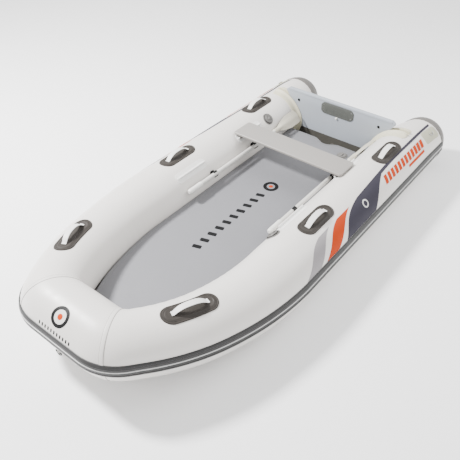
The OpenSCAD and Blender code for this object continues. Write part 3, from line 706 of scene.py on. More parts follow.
def corner_tape(side):
    """The tape over the bow's seam, in one length from strake to strake over the top."""
    half, thick = 0.0125, 0.0016
    section = [(-half, -0.001), (-half, 0.0004), (-half + 0.0012, thick), (-half / 2, thick),
               (0, thick + 0.0002), (half / 2, thick), (half - 0.0012, thick), (half, 0.0004),
               (half, -0.001)]
    around = spread(STRAKE_HIGH - 1, 355, 150)
    tape = loft("tape", [[bow_corner(a, lift, w, side) for w, lift in section] for a in around])
    # a dark rod at each edge of the tape: glue line and painted shade of the tape's step
    glue_and_shade = [rod([bow_corner(a, 0.0001, w, side) for a in around], 0.0014, SEAM_GLUE_SHADE, sides=8)
            for w in (-half, half)]
    return joined("tape", [coated(tape, SEAM_TAPE)] + glue_and_shade)


for side_name, side in SIDES:
    piece(f"{side_name}_bow_tape", corner_tape(side), "hull", SEAM_TAPE,
          [f"{side_name}_bow_seam"], 60)


# ---- Rub strake ----
def strake_path(a, lift):
    """Points of one lengthwise line of the strake, from the port quarter round the bow."""
    stations = spread(CAP_DEPTH - 0.006, STRAIGHT_END, 40)
    stations += spread(STRAIGHT_END, BEND_X2 - 0.01, 40)[1:]
    port = [skin(s, a, lift) for s in stations]
    port += [bow_corner(a, lift, k * corner_reach(a)) for k in np.linspace(-1, 1, 17)]
    return port + [p * (1, -1, 1) for p in reversed(port)]


def strake():
    wall = STRAKE_T - 0.003
    lips = [(STRAKE_LOW - 0.2, -0.001), (STRAKE_LOW, 0.002), (STRAKE_LOW + 0.6, wall * 0.7),
            (STRAKE_LOW + 2.0, wall), (STRAKE_LOW + 4.2, wall), (STRAKE_LOW + 4.8, wall - 0.0022),
            (STRAKE_LOW + 5.6, wall - 0.0022), (STRAKE_LOW + 6.2, wall), (STRAKE_MID - 1.8, wall),
            (STRAKE_MID - 1.2, wall - 0.002), (STRAKE_MID - 0.9, wall - 0.0045),
            (STRAKE_MID + 0.9, wall - 0.0045), (STRAKE_MID + 1.2, wall - 0.002),
            (STRAKE_MID + 1.8, wall), (STRAKE_HIGH - 6.0, wall),
            (STRAKE_HIGH - 5.4, wall - 0.0018),
            (STRAKE_HIGH - 4.6, wall - 0.0018), (STRAKE_HIGH - 4.0, wall),
            (STRAKE_HIGH - 1.8, wall * 0.92), (STRAKE_HIGH - 0.5, wall * 0.55),
            (STRAKE_HIGH, 0.0015), (STRAKE_HIGH + 0.2, -0.001)]
    lines = [strake_path(a, lift) for a, lift in lips]
    return loft("strake", [[line[i] for line in lines] for i in range(len(lines[0]))])


piece("rub_strake_band", strake(), "hull", STRAKE_GREY, ["rub_strake"], 40)
piece("rub_strake_piping", rod(strake_path(STRAKE_MID, STRAKE_T - 0.0042), 0.0031, STRAKE_LINE),
      "hull", STRAKE_LINE, ["rub_strake_line"])


# ---- Stern caps ----
def stern_cap():
    """A blunt moulded cup with a rolled rim, two steps and a flat nose with a boss."""
    tip, rim = 0.076, radius(CAP_DEPTH)
    lip = rim + 0.0012
    profile = [(0, 0.0), (0.022, 0.0), (0.024, 0.002), (0.030, 0.002), (tip - 0.012, 0.0006)]
    for i in range(15):
        q = math.pi / 2 * i / 14
        r = tip + (rim - tip) * math.sin(q)
        z = (CAP_DEPTH - 0.002) * (1 - math.cos(q)) + 0.0005
        profile.append((r - (0.0018 if i in (6, 10) else 0), z))
    profile += [(lip, CAP_DEPTH - 0.014), (lip + 0.0012, CAP_DEPTH - 0.010),
                (lip + 0.0012, CAP_DEPTH - 0.004), (lip, CAP_DEPTH - 0.001),
                (rim - 0.003, CAP_DEPTH), (0, CAP_DEPTH)]
    place = Matrix.Translation((-MIDSHIP, line_y(CAP_DEPTH), TUBE_R))
    return lathe("cap", profile, place @ Matrix.Rotation(math.pi / 2, 4, "Y"), 96)


cap = stern_cap()
piece("port_cap_cup", cap, "hull", CAP_GREY, ["port_stern_cap"])
piece("starboard_cap_cup", mirrored(cap), "hull", CAP_GREY, ["starboard_stern_cap"])


# ---- Bottom ----
def keel_z(s):
    return 0.003 + 0.136 * (bow_part(s) * 1.05) ** 2


def bottom_panel():
    thick, aft, fore = 0.003, TRANSOM_X - TRANSOM_T, 3.04
    rings = []
    for s in spread(aft, fore, 80):
        edge = skin(s, 250, 0.004)
        middle = np.array((s - MIDSHIP, 0, keel_z(s)))
        half = []
        for k in range(13):
            t = k / 12
            p = edge * (1 - t) + middle * t
            p[2] -= 0.006 * math.sin(math.pi * t) * (1 - bow_part(s))
            p[2] = max(p[2], 0.0015)
            half.append(p)
        line = half + [p * (1, -1, 1) for p in reversed(half[:-1])]
        rings.append(line + [p + (0, 0, thick) for p in reversed(line)])
    return loft("bottom", rings)


piece("bottom_panel", bottom_panel(), "hull", SKIN_WHITE, ["bottom_skin"], 50)


# ---- Deck ----
def deck_half(s):
    reach = math.sqrt(radius(s) ** 2 - (line_z(s) - DECK_TOP) ** 2) / math.cos(heading(s))
    return line_y(s) - 0.0035 - reach


def deck_outline():
    """Anticlockwise: up the starboard side, round the bow end and back down to port."""
    aft, fore, notch, half_notch, soft = DECK_AFT, DECK_FORE, DECK_NOTCH, DECK_NOTCH_HALF, 0.02
    side = [(s, deck_half(s)) for s in spread(aft + soft, fore - soft, 70)]
    end = deck_half(fore)
    starboard = [(x, -y) for x, y in side]
    bow = [(fore - 0.006, -end + 0.004), (fore, -end + 0.022)]
    bow += [(fore, y) for y in spread(-end + 0.04, end - 0.04, 6)]
    bow += [(fore, end - 0.022), (fore - 0.006, end - 0.004)]
    stern = [(aft + 0.005, deck_half(aft) - 0.006), (aft, deck_half(aft) - 0.022)]
    stern += [(aft, y) for y in spread(0.31, half_notch + 0.02, 4)]
    stern += [(aft + notch * (1 + math.cos(math.pi * y / half_notch)) / 2, y)
              for y in spread(half_notch, -half_notch, 24)]
    stern += [(aft, y) for y in spread(-half_notch - 0.02, -0.31, 4)]
    stern += [(aft, 0.022 - deck_half(aft)), (aft + 0.005, 0.006 - deck_half(aft))]
    return np.array(starboard + bow + list(reversed(side)) + stern)


def deck_panel():
    place = Matrix.Translation((-MIDSHIP, 0, DECK_TOP - DECK_T))
    return slab("deck", deck_outline(), DECK_T, 0.0015, place)


piece("deck_panel", deck_panel(), "hull", DECK_GREY, ["air_deck"], 30)


def deck_band():
    """The welded band round the deck's edge, standing a little proud of the top face. Its grey, a
    little darker than the deck's, is partly painted shade along the tubes.
    """
    outline = deck_outline()
    place = Matrix.Translation((-MIDSHIP, 0, DECK_TOP))
    rings = []
    for by, z in ((0.001, -0.02), (0.0002, -0.003), (0.0015, 0.0006), (0.004, 0.0011),
                  (0.020, 0.0011), (0.0215, 0.0004), (0.0216, -0.001), (0.010, -0.02)):
        rings.append([place @ Vector((x, y, z)) for x, y in inset(outline, by)])
    return loft("band", rings, loop=True)


piece("deck_edge_band", deck_band(), "hull", DECK_BAND_SHADE, sharp=40)


def on_deck(s):
    """A place on the deck's middle line, just under its face, for a printed mark."""
    return Matrix.Translation((s - MIDSHIP, 0, DECK_TOP - 0.0004))


def deck_marks():
    """Plain printed dashes down the middle of the deck, with one ring at their aft end."""
    dash = rounded([(-0.016, -0.031), (0.016, -0.031), (0.016, 0.031), (-0.016, 0.031)], 0.008)
    slant = Matrix.Rotation(math.radians(18), 4, "Z")
    dashes = [slab("mark", dash, 0.0009, 0.0002, on_deck(DASH_X + DASH_PITCH * k) @ slant, steps=1)
              for k in range(DASHES)]
    return joined("marks", [coated(m, PRINT_BLACK) for m in dashes])


piece("deck_dashes", deck_marks(), "hull", PRINT_BLACK)
piece("deck_ring", lathe("ring_mark", tube_profile(0.030, 0.056, 0, 0.0009, 0.0002),
                         on_deck(DECK_RING_X)), "hull", PRINT_BLACK)
DOT_PROFILE = [(0, 0), (0.015, 0), (0.0152, 0.0007), (0.0148, 0.0009), (0, 0.0009)]
piece("deck_ring_dot", lathe("dot", DOT_PROFILE, on_deck(DECK_RING_X), 32), "hull",
      ORANGE)


# ---- Valves ----
def bars(seats, size, material):
    return repeated(seats, BARS, {"Bar size": size, "Material": material})


def grips_round(place, r, z, count, size):
    """A ring of small radial bars round local Z."""
    spoke = Matrix.Translation((r, 0, z))
    return bars([place @ Matrix.Rotation(math.tau * k / count, 4, "Z") @ spoke
                 for k in range(count)], size, VALVE_GREY)


def valve(side_name, side):
    s = VALVES[side_name]
    place = skin_frame(s, VALVE_ANGLE, 0, side)
    base = skin_plate("valve_base", s, VALVE_ANGLE, disc(0.048, 64),
                      [(0, 0.0012), (0.001, 0.0026), (0.005, 0.0036), (0.0105, 0.0046)], side)
    collar = lathe("collar", tube_profile(0.0272, 0.036, -0.003, 0.012, 0.0012), place)
    groove = lathe("step", tube_profile(0.0365, 0.0400, -0.002, 0.0085, 0.0008), place)
    floor = lathe("floor", [(0, -0.002), (0.0275, -0.002), (0.0275, 0.0042), (0, 0.0042)], place)
    lugs = grips_round(place, 0.0425, 0.0045, 16, (0.0035, 0.0030, 0.0040))
    body = joined("valve", [coated(m, VALVE_GREY) for m in (base, collar, lugs)]
                  + [coated(m, VALVE_DARK) for m in (groove, floor)])
    piece(f"{side_name}_valve_ring", body, "hull", VALVE_GREY,
          [f"{side_name}_valve_body"])
    dome = lathe("dome", [(0, 0.0046), (0.0245, 0.0046), (0.0258, 0.0056), (0.0260, 0.0120),
                          (0.0250, 0.0134), (0.0215, 0.0136), (0.0205, 0.0120), (0.0150, 0.0118),
                          (0.0140, 0.0134), (0.0128, 0.0160), (0.0100, 0.0172), (0, 0.0176)],
                 place)
    grips = grips_round(place, 0.0195, 0.0140, 8, (0.0085, 0.0028, 0.0046))
    cap_mesh = joined("cap", [coated(dome, VALVE_GREY), grips])
    piece(f"{side_name}_valve_lid", cap_mesh, f"{side_name}_valve_cap", VALVE_GREY,
          [f"{side_name}_valve_cap"])


for side_name, side in SIDES:
    valve(side_name, side)


def deck_valve():
    place = Matrix.Translation((DECK_VALVE[0] - MIDSHIP, DECK_VALVE[1], DECK_TOP))
    flange = lathe("flange", tube_profile(0.0245, 0.042, 0.0002, 0.0042, 0.0012), place, 64)
    throat = lathe("throat", tube_profile(0.0245, 0.0292, -0.028, 0.002, 0.0005), place)
    teeth = grips_round(place, 0.0372, 0.0046, 18, (0.0045, 0.0030, 0.0014))
    ring = joined("ring", [coated(m, VALVE_GREY) for m in (flange, throat, teeth)])
    piece("deck_valve_ring", ring, "hull", VALVE_GREY, ["deck_valve_body"])
    lid = lathe("lid", [(0, -0.013), (0.0225, -0.013), (0.0232, -0.012), (0.0232, 0.0046),
                        (0.0310, 0.0048), (0.0320, 0.0058), (0.0318, 0.0086), (0.0300, 0.0098),
                        (0.0240, 0.0100), (0.0225, 0.0088), (0, 0.0086)], place, 64)
    handle = slab("handle", stadium(0.040, 0.009, 0.0044), 0.0066, 0.0015,
                  place @ Matrix.Translation((0, 0, 0.0082)))
    grips = grips_round(place, 0.0290, 0.0098, 12, (0.0045, 0.0028, 0.0030))
    top = joined("lid", [coated(m, VALVE_GREY) for m in (lid, handle, grips)])
    piece("deck_valve_lid", top, "deck_valve_cap", VALVE_GREY, ["deck_valve_cap"])


deck_valve()


# ---- Transom ----
def upright(s):
    """Stands a drawing of the YZ plane at a station: local X to port, local Y up, Z forward."""
    return Matrix(((0, 0, 1, s - MIDSHIP), (1, 0, 0, 0), (0, 1, 0, 0), (0, 0, 0, 1)))


def transom_outline():
    foot, arc_r = 0.060, HOLDER_R + 0.001
    reach = TUBE_Y - arc_r - 0.001
    start = math.atan2(TRANSOM_TOP - 0.014 - TUBE_R, TRANSOM_HALF - TUBE_Y)
    port = [(reach, foot), (reach, TUBE_R - 0.02)]
    port += [(TUBE_Y + arc_r * math.cos(q), TUBE_R + arc_r * math.sin(q))
             for q in np.linspace(math.pi, start + 0.35, 22)]
    shoulder = [(TRANSOM_HALF - 0.002, TRANSOM_TOP - 0.024),
                (TRANSOM_HALF - 0.006, TRANSOM_TOP - 0.012), (TRANSOM_HALF - 0.023, TRANSOM_TOP)]
    port = [p for p in port if p[0] < TRANSOM_HALF - 0.003] + shoulder
    return np.array(port + [(-y, z) for y, z in reversed(port)])


board = slab("board", transom_outline(), TRANSOM_T, 0.003, upright(TRANSOM_X - TRANSOM_T))
piece("transom_panel", board, "hull", BOARD_BLUE, ["transom_board"])


def top_trim():
    """The moulding pushed over the board's top edge: a channel with rolled lips."""
    back, front = TRANSOM_X - TRANSOM_T - 0.0032, TRANSOM_X + 0.0032
    top, low, wall = TRANSOM_TOP + 0.003, TRANSOM_TOP - 0.014, 0.0029
    section = [(back, low + 0.001), (back + 0.001, low), (back + wall, low),
               (back + wall, top - 0.003), (front - wall, top - 0.003), (front - wall, low),
               (front - 0.001, low),
               (front, low + 0.001), (front, top - 0.004), (front - 0.0012, top - 0.0012),
               (front - 0.004, top), (back + 0.004, top), (back + 0.0012, top - 0.0012),
               (back, top - 0.004)]
    half = TRANSOM_HALF - 0.026
    return loft("trim", [[np.array((s - MIDSHIP, y, z)) for s, z in section]
                         for y in spread(-half, half, 6)])


piece("transom_edge_trim", top_trim(), "hull", BOARD_BLUE, ["transom_top_trim"])


def motor_pads():
    """Pads with cut corners, rounded edges and ribs across their faces."""
    w, h, cut, thick, ribs, pitch = 0.145, 0.048, 0.022, 0.005, 21, 0.0105
    outline = rounded([(w, -h + cut), (w, h - cut), (w - cut, h), (-w + cut, h), (-w, h - cut),
                       (-w, -h + cut), (-w + cut, -h), (w - cut, -h)], 0.012) + (0, MOTOR_PAD_Z)
    for name, front, face in (("inner", TRANSOM_X + 0.0051, thick - 0.0004),
                              ("outer", TRANSOM_X - TRANSOM_T - 0.0001, 0.0004)):
        place = upright(front - thick)
        plate = slab(name, outline, thick - 0.0008, 0.0012, place)
        seats = [place @ Matrix.Translation(((k - ribs // 2) * pitch, MOTOR_PAD_Z, face))
                 for k in range(ribs)]
        lines = bars(seats, (0.0030, 0.062, 0.0008), PAD_OLIVE)
        piece(f"motor_pad_{name}_plate", joined("pad", [coated(plate, PAD_OLIVE), lines]), "hull",
              PAD_OLIVE, [f"motor_pad_{name}"])


motor_pads()
knob_profile = [(0, 0), (0.0085, 0), (0.009, 0.0008), (0.0088, 0.0024), (0.0075, 0.003),
                (0.004, 0.0034), (0.0038, 0.009), (0.0072, 0.0092), (0.008, 0.0102),
                (0.0078, 0.0128), (0.0060, 0.0138), (0, 0.0141)]
knob_place = upright(TRANSOM_X + 0.0002) @ Matrix.Translation((0, KNOB_Z, 0))
piece("lanyard_button", lathe("button", knob_profile, knob_place, 32), "hull",
      WHITE_PLASTIC, ["lanyard_knob"])


def seal_strip():
    """The strip that joins the board to the deck: down the board, round the corner, forward."""
    half = TUBE_Y - TUBE_R - 0.008
    low, x = keel_z(TRANSOM_X) + 0.017, TRANSOM_X - MIDSHIP
    near, far = x + 0.0004, x + 0.0004 + SEAL_T
    section = [(near, SEAL_TOP), (near, low + 0.012), (x + 0.0035, low + 0.0035),
               (x + 0.012, low), (x + SEAL_REACH, low), (x + SEAL_REACH, low + SEAL_T),
               (x + 0.013, low + SEAL_T), (x + 0.006, low + 0.006), (far, low + 0.013),
               (far, SEAL_TOP)]
    return loft("seal", [[np.array((px, y, pz)) for px, pz in section]
                         for y in spread(-half, half, 20)])


piece("transom_seal", seal_strip(), "hull", SEAL_OLIVE, ["transom_seal_strip"], 50)


def holder(side):
    """The flexible flange that grips the board: a welded base with two soft ribs."""
    first, last, rib = 80, 206, 0.012
    middle = TRANSOM_X - TRANSOM_T / 2
    jaw = TRANSOM_T / 2 + 0.0003
    half = [(jaw, 0.0003), (jaw, 0.021), (jaw + 0.0018, 0.0236), (jaw + 0.0055, 0.0240),
            (jaw + 0.0090, 0.0215), (jaw + rib, 0.0130), (jaw + rib + 0.006, 0.0080),
            (jaw + rib + 0.016, 0.0058), (0.052, 0.0048), (0.066, 0.0030), (0.0735, 0.0018),
            (0.0750, -0.0010)]
    rings = []
    for a in spread(first, last, 90):
        # the flange ends in rounded tongues: its width closes in over the last few degrees
        near = min(a - first, last - a)
        close = math.sqrt(max(0.0, 1 - max(0.0, 1 - near / 8) ** 2))
        tall = 1 + 0.6 * math.exp(-((a - 176) / 24) ** 2)
        part = []
        for x, lift in half:
            if lift > 0.0004:
                lift *= (0.25 + 0.75 * close) * (tall if x < 0.035 else 1)
            part.append((jaw + (x - jaw) * (0.35 + 0.65 * close), lift))
        rings.append([skin(middle + x, a, lift, side) for x, lift in part]
                     + [skin(middle - x, a, lift, side) for x, lift in reversed(part)])
    return loft("holder", rings)


for side_name, side in SIDES:
    piece(f"{side_name}_holder_flange", holder(side), "hull", CREAM_RUBBER,
          [f"{side_name}_transom_holder"], 50)


# ---- Seat ----
SEAT_X, SEAT_W, SEAT_L, SEAT_TOP, SEAT_T = 1.139, 0.190, 0.920, 0.418, 0.020
seat_place = Matrix.Translation((SEAT_X - MIDSHIP, 0, SEAT_TOP - SEAT_T))
piece("seat_plank", slab("seat", stadium(SEAT_W, SEAT_L, 0.018), SEAT_T, 0.006, seat_place),
      "seat", SEAT_PAINT, ["seat_board"])
coated(nodes["seat_sliders"].data, SLIDER_GREY)


def rail(s, side):
    """A welded track: a patch, a raised web and a bead that the seat's slider hooks on."""
    base = skin_plate("track", s, RAIL_ANGLE, stadium(RAIL_LENGTH + 0.014, 0.074, 0.030),
                      [(0, 0.0006), (0.0012, 0.0021)], side)
    web = skin_plate("web", s, RAIL_ANGLE, stadium(RAIL_LENGTH, 0.020, 0.006),
                     [(0, 0.0020), (0.001, 0.0042), (0.0055, 0.0060), (0.0070, 0.0145)], side,
                     (0.7, 0.4))
    end = RAIL_LENGTH / 2 - 0.006
    bead = rod([skin(s + d, RAIL_ANGLE, 0.015, side) for d in spread(-end, end, 12)], 0.0058,
               STRAP_WHITE, sides=16)
    return joined("rail", [coated(m, STRAP_WHITE) for m in (base, web, bead)])


rails = [rail(s, side) for s in RAIL_STATIONS for _, side in SIDES]
piece("seat_tracks", joined("tracks", rails), "hull", STRAP_WHITE,
      ["seat_rails", "seat_rail_patches"])


# ---- Handles ----
PAD_LENGTH, PAD_WIDTH = 0.320, 0.124
STRAP_W, STRAP_RISE, STRAP_T = 0.032, 0.036, 0.004
STRAP_HALF, STRAP_FOOT = 0.105, 0.012
PAD_TOP = 0.0049
STUD_R, STUD_HEIGHT, STUD_INSET = 0.0026, 0.0018, 0.0157


def handle_pad(s, side):
    """An oval moulding with a raised rim, a ring of studs and a hollow under the strap."""
    outline = stadium(PAD_LENGTH, PAD_WIDTH, PAD_WIDTH / 2, 14)
    plate = skin_plate("pad", s, HANDLE_ANGLE, outline,
                       [(0, 0.0008), (0.0008, 0.0022), (0.0035, PAD_TOP), (0.0075, PAD_TOP),
                        (0.0095, 0.0030), (0.022, 0.0030), (0.024, 0.0040), (0.028, 0.0040),
                        (0.031, 0.0020)], side)
    seats = [skin_frame(s + along * math.cos(heading(s)),
                        HANDLE_ANGLE + math.degrees(around / radius(s)), 0.0033, side)
             for along, around in inset(outline, STUD_INSET)]
    studs = repeated(seats, STUDS, {"Stud radius": STUD_R, "Stud height": STUD_HEIGHT,
                                    "Material": PAD_RUBBER})
    return joined("pad", [coated(plate, PAD_RUBBER), studs])


def strap_rise(d):
    span = STRAP_HALF - STRAP_FOOT
    return STRAP_RISE * max(0.0, 1 - (abs(d) / span) ** 2.6)


def strap(s, side):
    """A flat moulded strap with rounded edges and three shallow grooves along its top."""
    half, t = STRAP_W / 2, STRAP_T
    section = [(-half + 0.001, 0), (-half, 0.0012), (-half, t - 0.0014), (-half + 0.0014, t)]
    for groove in (-0.009, 0.0, 0.009):
        section += [(groove - 0.0024, t), (groove - 0.0010, t - 0.0007),
                    (groove + 0.0010, t - 0.0007), (groove + 0.0024, t)]
    section += [(half - 0.0014, t), (half, t - 0.0014), (half, 0.0012), (half - 0.001, 0)]
    rings = []
    for d in spread(-STRAP_HALF, STRAP_HALF, 64):
        x = s + d * math.cos(heading(s))
        low = (PAD_TOP if abs(d) < STRAP_HALF - STRAP_FOOT else 0.003) + strap_rise(d)
        rings.append([skin(x, HANDLE_ANGLE + math.degrees(w / TUBE_R), low + up, side)
                      for w, up in section])
    return loft("strap", rings)


for side_name, side in SIDES:
    pads = [handle_pad(s, side) for s in HANDLES.values()]
    piece(f"{side_name}_pads", joined("pads", pads), "hull", PAD_RUBBER,
          [f"{side_name}_handle_pads"])
    for where, s in HANDLES.items():
        piece(f"{side_name}_handle_{where}", strap(s, side), "hull", STRAP_WHITE,
              [f"{side_name}_strap_{where}"])


# ---- Oars ----
def oar_frame(s, side):
    """Local Z forward along the oar, local X out of the tube."""
    base = skin_frame(s, OAR_ANGLE, OAR_LIFT, side)
    ahead, out = base.col[0].xyz, base.col[2].xyz
    matrix = Matrix((out, ahead.cross(out), ahead)).transposed().to_4x4()
    matrix.translation = base.translation
    return matrix


GRIP_LENGTH, BLADE_LENGTH, BLADE_WIDTH = 0.130, 0.330, 0.112
BLADE_TURN = math.radians(25)
OAR_AFT = OAR_FORE - OAR_LENGTH
CLIPS = {"fore": 1.605, "aft": 1.123}


def oar(side_name, side):
    body, r = f"{side_name}_oar", OAR_R
    aft, fore = OAR_AFT + BLADE_LENGTH - 0.060, OAR_FORE - GRIP_LENGTH + 0.040
    shaft = lathe("shaft", [(0, 0), (r - 0.001, 0), (r, 0.001), (r, fore - aft - 0.001),
                            (r - 0.001, fore - aft), (0, fore - aft)], oar_frame(aft, side), 32)
    piece(f"{side_name}_oar_tube", shaft, body, OAR_METAL,
          [f"{side_name}_oar_shaft"])
    g = r + 0.004
    profile = [(0, 0.0005), (r - 0.002, 0.0005), (r + 0.0012, 0.0), (r + 0.0030, 0.0015),
               (g, 0.006)]
    for k in range(7):
        z = 0.018 + 0.013 * k
        profile += [(g, z), (g - 0.0011, z + 0.0016), (g - 0.0011, z + 0.0030), (g, z + 0.0046)]
    profile += [(g, 0.112), (g - 0.0008, 0.119), (0.0150, 0.1265), (0.0110, 0.1298), (0, 0.1300)]
    grip = lathe("grip", profile, oar_frame(OAR_FORE - GRIP_LENGTH, side), 40)
    piece(f"{side_name}_oar_handle", grip, body, WHITE_PLASTIC,
          [f"{side_name}_oar_grip"])
    piece(f"{side_name}_oar_leaf", blade(side), body, BLADE_CREAM,
          [f"{side_name}_oar_blade"], 50)


def blade(side):
    """A leaf that is thickest along its spine and thins to its edges, with a socket."""
    place = oar_frame(OAR_AFT, side) @ Matrix.Rotation(-side * BLADE_TURN, 4, "Z")
    leaf_end = BLADE_LENGTH - 0.050
    rings = []
    for k in range(41):
        z = leaf_end * k / 40
        t = z / leaf_end
        foot = math.sqrt(max(0.0, 1 - ((0.10 - min(t, 0.10)) / 0.10) ** 2))
        neck = 1 - max(0.0, (t - 0.42) / 0.58) ** 1.7
        half = max(0.004, BLADE_WIDTH / 2 * (0.55 + 0.45 * foot) * (0.30 + 0.70 * neck))
        spine = 0.0030 + 0.0095 * t ** 1.5
        ring = []
        for j in range(24):
            q = math.tau * j / 24
            across = half * math.copysign(abs(math.sin(q)) ** 0.8, math.sin(q))
            hump = spine * math.exp(-(across / 0.016) ** 2)
            hump += 0.0024 * (1 - abs(across / half) ** 3)
            ring.append(place @ Vector((max(0.0008, hump) * (1 if math.cos(q) > 0 else -1)
                                        if abs(math.cos(q)) > 1e-9 else 0.0, across, z)))
        rings.append(ring)
    leaf = loft("leaf", rings)
    socket_r = OAR_R + 0.003
    neck_z = BLADE_LENGTH - 0.110
    socket = lathe("socket", [(0, neck_z - 0.02), (0.008, neck_z - 0.012),
                              (0.0145, neck_z + 0.012), (socket_r - 0.0006, neck_z + 0.03),
                              (socket_r, neck_z + 0.05), (socket_r, BLADE_LENGTH - 0.008),
                              (socket_r + 0.0012, BLADE_LENGTH - 0.006),
                              (socket_r + 0.0012, BLADE_LENGTH - 0.001), (socket_r, BLADE_LENGTH),
                              (0, BLADE_LENGTH)], place, 32)
    return joined("blade", [coated(leaf, BLADE_CREAM), coated(socket, BLADE_CREAM)])


def oar_clip(s, side):
    """A spring clip: an open ring on a stem and a foot."""
    width, wall, inner = 0.034, 0.0058, OAR_R + 0.0005
    mouth = math.radians(50)
    outer = inner + wall
    arc = [(math.pi / 2 + mouth) + (math.tau - 2 * mouth) * k / 36 for k in range(37)]
    outside = [(outer * math.cos(q), outer * math.sin(q)) for q in arc]
    inside = [(inner * math.cos(q), inner * math.sin(q)) for q in reversed(arc)]
    ring = np.array(outside + inside)
    place = skin_frame(s - width / 2, OAR_ANGLE, OAR_LIFT, side) @ Matrix(
        ((0, 0, 1, 0), (1, 0, 0, 0), (0, 1, 0, 0), (0, 0, 0, 1)))
    hoop = slab("hoop", ring, width, 0.0012, place, steps=2)
    stem = slab("stem", rounded([(-0.007, -OAR_LIFT + 0.002), (0.007, -OAR_LIFT + 0.002),
                                 (0.005, -inner - 0.002), (-0.005, -inner - 0.002)], 0.001, 2),
                width, 0.001, place, steps=2)
    foot = skin_plate("foot", s, OAR_ANGLE, stadium(0.042, 0.046, 0.010, 5),
                      [(0, 0.0015), (0.001, 0.0036), (0.003, 0.0042)], side)
    return joined("clip", [coated(m, BLACK_PLASTIC) for m in (hoop, stem, foot)])


for side_name, side in SIDES:
    oar(side_name, side)
    for where, s in CLIPS.items():
        piece(f"{side_name}_oar_clip_{where}", oar_clip(s, side), "hull",
              BLACK_PLASTIC, [f"{side_name}_clip_{where}"])


# ---- Side graphics: plain welded shapes between the strake and the handles ----
def edge_curve(points, t):
    """A point on a cubic curve through flat (station, angle) control points."""
    weights = ((1 - t) ** 3, 3 * t * (1 - t) ** 2, 3 * t * t * (1 - t), t ** 3)
    return sum(w * np.array(p) for w, p in zip(weights, points))


def flash(aft, fore, side, lift=0.0009, across=28, along=14):
    """A welded shape between two edges that are cubic curves, run from the strake upwards."""
    rows = []
    for i in range(across + 1):
        a, b = edge_curve(aft, i / across), edge_curve(fore, i / across)
        rows.append([a + (b - a) * j / along for j in range(along + 1)])
    verts = [skin(s, level_angle(s, a), level, side)
             for level in (lift, -0.001) for row in rows for s, a in row]
    row, under = along + 1, (across + 1) * (along + 1)
    faces = []
    for i in range(across):
        for j in range(along):
            a, b, c, d = i * row + j, i * row + j + 1, (i + 1) * row + j + 1, (i + 1) * row + j
            faces += [(a, b, c, d), (under + d, under + c, under + b, under + a)]
    rim = list(range(row)) + [i * row + along for i in range(1, across + 1)]
    rim += [across * row + j for j in range(along - 1, -1, -1)]
    rim += [i * row for i in range(across - 1, 0, -1)]
    faces += [(b, a, under + a, under + b) for a, b in zip(rim, rim[1:] + rim[:1])]
    return mesh_of("flash", verts, faces)


def straight(s0, s1, a0, a1):
    """Control points of a straight edge."""
    return [(s0 + (s1 - s0) * k / 3, a0 + (a1 - a0) * k / 3) for k in range(4)]


FLASH_LOW = STRAKE_HIGH + 0.6
FLAG_FORE = [(1.640, FLASH_LOW), (1.575, 38), (1.575, 54), (1.36, 63.5)]
FLAG_AFT = [(1.255, FLASH_LOW), (1.185, 36), (1.125, 52), (1.02, 62.8)]
SHOULDER_FORE = [(1.36, 63.5), (1.25, 65.6), (1.06, 68.4), (0.93, 70.5)]
SHOULDER_AFT = [(1.02, 62.8), (0.96, 64.0), (0.86, 65.2), (0.80, 65.4)]
ORANGE_AFT = [(1.735, FLASH_LOW), (1.625, 36), (1.60, 52), (1.475, 61.5)]
ORANGE_FORE = [(1.880, FLASH_LOW), (1.765, 36), (1.755, 54), (1.625, 61.5)]
PALE_AFT = [(1.945, FLASH_LOW), (1.845, 36), (1.835, 52), (1.722, 61.3)]
PALE_FORE = [(2.100, FLASH_LOW), (1.975, 36), (1.985, 52), (1.845, 60.5)]
FLAG_RING_AT = (1.335, 45)
SIDE_BARS, SIDE_BAR_X, SIDE_BAR_PITCH, SIDE_BAR_W, SIDE_BAR_LEAN = 12, 0.440, 0.052, 0.036, 0.022
BOW_RING_TURN, BOW_BARS_TURN = 54, 24.8


def side_graphics(side_name, side):
    shapes = {"slate_flag": (FLAG_AFT, FLAG_FORE, SLATE),
              "slate_shoulder": (SHOULDER_AFT, SHOULDER_FORE, SLATE),
              "orange_flash": (ORANGE_AFT, ORANGE_FORE, ORANGE),
              "pale_flash": (PALE_AFT, PALE_FORE, PALE_GREY)}
    for name, (aft, fore, material) in shapes.items():
        piece(f"{side_name}_{name}", flash(aft, fore, side), "hull", material)
    line = flash(straight(0.205, 0.19, 65.4, 70.5), straight(0.805, 0.935, 65.4, 70.5), side,
                 across=5, along=50)
    piece(f"{side_name}_slate_line", line, "hull", SLATE)
    lay = on_skin(*FLAG_RING_AT, side)
    rings = [lay(disc(r, 40), lift)
             for r, lift in ((0.019, 0.0005), (0.019, 0.0017), (0.029, 0.0017), (0.029, 0.0005))]
    piece(f"{side_name}_flag_ring", loft("ring", rings, loop=True), "hull",
          STRAKE_LINE)
    row = []
    for k in range(SIDE_BARS):
        x = SIDE_BAR_X + SIDE_BAR_PITCH * k
        far = x + SIDE_BAR_W
        row.append(flash(straight(x, x - SIDE_BAR_LEAN, 41, 57),
                         straight(far, far - SIDE_BAR_LEAN, 41, 57), side, across=6, along=3))
    row.append(flash(straight(0.46, 0.455, 31.5, 36.5), straight(0.72, 0.715, 31.5, 36.5), side,
                     across=3, along=12))
    piece(f"{side_name}_orange_bars", joined("bars", [coated(b, ORANGE) for b in row]), "hull",
          ORANGE)


for side_name, side in SIDES:
    side_graphics(side_name, side)


def nose_lay(points, turn, lift):
    """Lays flat (across, around) points in metres on the bow tube."""
    placed = []
    for across, around in points:
        a = math.radians(turn) + around / NOSE_R
        placed.append(np.array((NOSE_X - MIDSHIP + (NOSE_R + lift) * math.cos(a), across,
                                NOSE_Z + (NOSE_R + lift) * math.sin(a))))
    return placed


